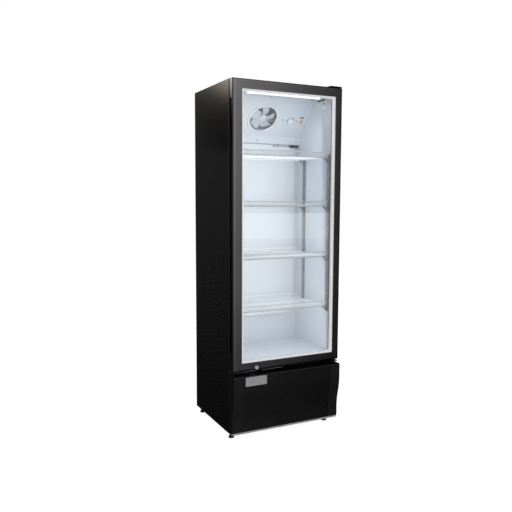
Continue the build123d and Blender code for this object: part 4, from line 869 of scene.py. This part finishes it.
section = gasket_profile()
corners = []
for side_x, side_z in ((-1, -1), (1, -1), (1, 1), (-1, 1)):
    edge_x = gasket_low[0] if side_x < 0 else gasket_high[0]
    edge_z = gasket_low[2] if side_z < 0 else gasket_high[2]
    corners.append(np.stack([
        edge_x - side_x * section[:, 0],
        gasket_low[1] + section[:, 1],
        edge_z - side_z * section[:, 0],
    ], axis=-1))
pvc, tree, shader, place = new_finish("black_soft_pvc", "1b1b1d", 0.55)
roughen(tree, shader, place, 0.002, 0.5, 0.65, 0.00003)
gasket = mesh_piece("door_gasket_bellows", [(np.stack(corners), True)], "door", pvc)
flat_shaded(gasket)
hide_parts("door_gasket")

# ---------------------------------------------------------------- lock
# A cam lock of brass, satin chromed, with a turned barrel and plug.
chrome, tree, shader, place = new_finish("satin_chromed_brass", "e4e6e8", 0.2, Metallic=0.6)
roughen(tree, shader, place, 0.002, 0.14, 0.26, 0.00001)
dress(chrome, "lock_cylinder", "lock_plug")

# ---------------------------------------------------------------- panel screws
# Black zinc-plated pan heads with a cross recess. They hold the cover, the duct, the back panel and
# the grille; a head's way out follows from where it sits.


def screw_head(radius, lift, recess):
    """Height over the head: a quarter ellipse, less a cross whose depth falls off with the
    distance to the nearer of the two slots and to the rim. The underside is flat."""
    ring = np.concatenate([[0.0], np.linspace(0.12, 1, 9) ** 0.8])[:, None]
    angle = np.linspace(0, 2 * np.pi, 24, endpoint=False)[None, :]
    x, y = ring * np.cos(angle), ring * np.sin(angle)
    slot_half_width, slot_end = 0.16, 1.4
    slot = np.clip(1 - np.minimum(np.abs(x), np.abs(y)) / slot_half_width, 0, 1)
    slot = slot * np.clip(slot_end - 2 * ring, 0, 1)
    top = lift * np.sqrt(np.clip(1 - ring ** 2, 0, 1)) - recess * slot
    dome = np.stack([radius * x, radius * y, top], axis=-1)
    base = np.zeros_like(dome[:1])
    return np.concatenate([dome, base])


screw_steel, tree, shader, place = new_finish("black_zinc_screws", "5e6266", 0.4, Metallic=0.8)
roughen(tree, shader, place, 0.002, 0.32, 0.5, 0.00001)
screws = frame["nodes"]["panel_screws"]
screw_points = np.zeros(len(screws.data.vertices) * 3)
screws.data.vertices.foreach_get("co", screw_points)
screw_points = screw_points.reshape(-1, 3)
head_radius = 0.0036
head_reach = 2.6 * head_radius
back_screws_y = 0.2
sloping_depth = 0.003
heads = []
left_over = screw_points
while len(left_over):
    near = np.linalg.norm(left_over - left_over[0], axis=1) < head_reach
    cluster = left_over[near]
    left_over = left_over[~near]
    centre = (cluster.min(0) + cluster.max(0)) / 2
    if centre[1] > back_screws_y:
        normal = (0, 1, 0)
    elif np.ptp(cluster[:, 1]) > sloping_depth:
        normal = cover_out
    else:
        normal = (0, -1, 0)
    normal = np.array(normal, dtype=float)
    lift = np.ptp(cluster @ normal)
    foot = centre - normal * lift / 2
    heads += placed([(screw_head(head_radius, lift, 0.5 * lift), False)], foot, axes_of(normal))
screw_heads = mesh_piece("cross_head_screws", heads, "cabinet", screw_steel)
flat_shaded(screw_heads)
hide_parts("panel_screws")
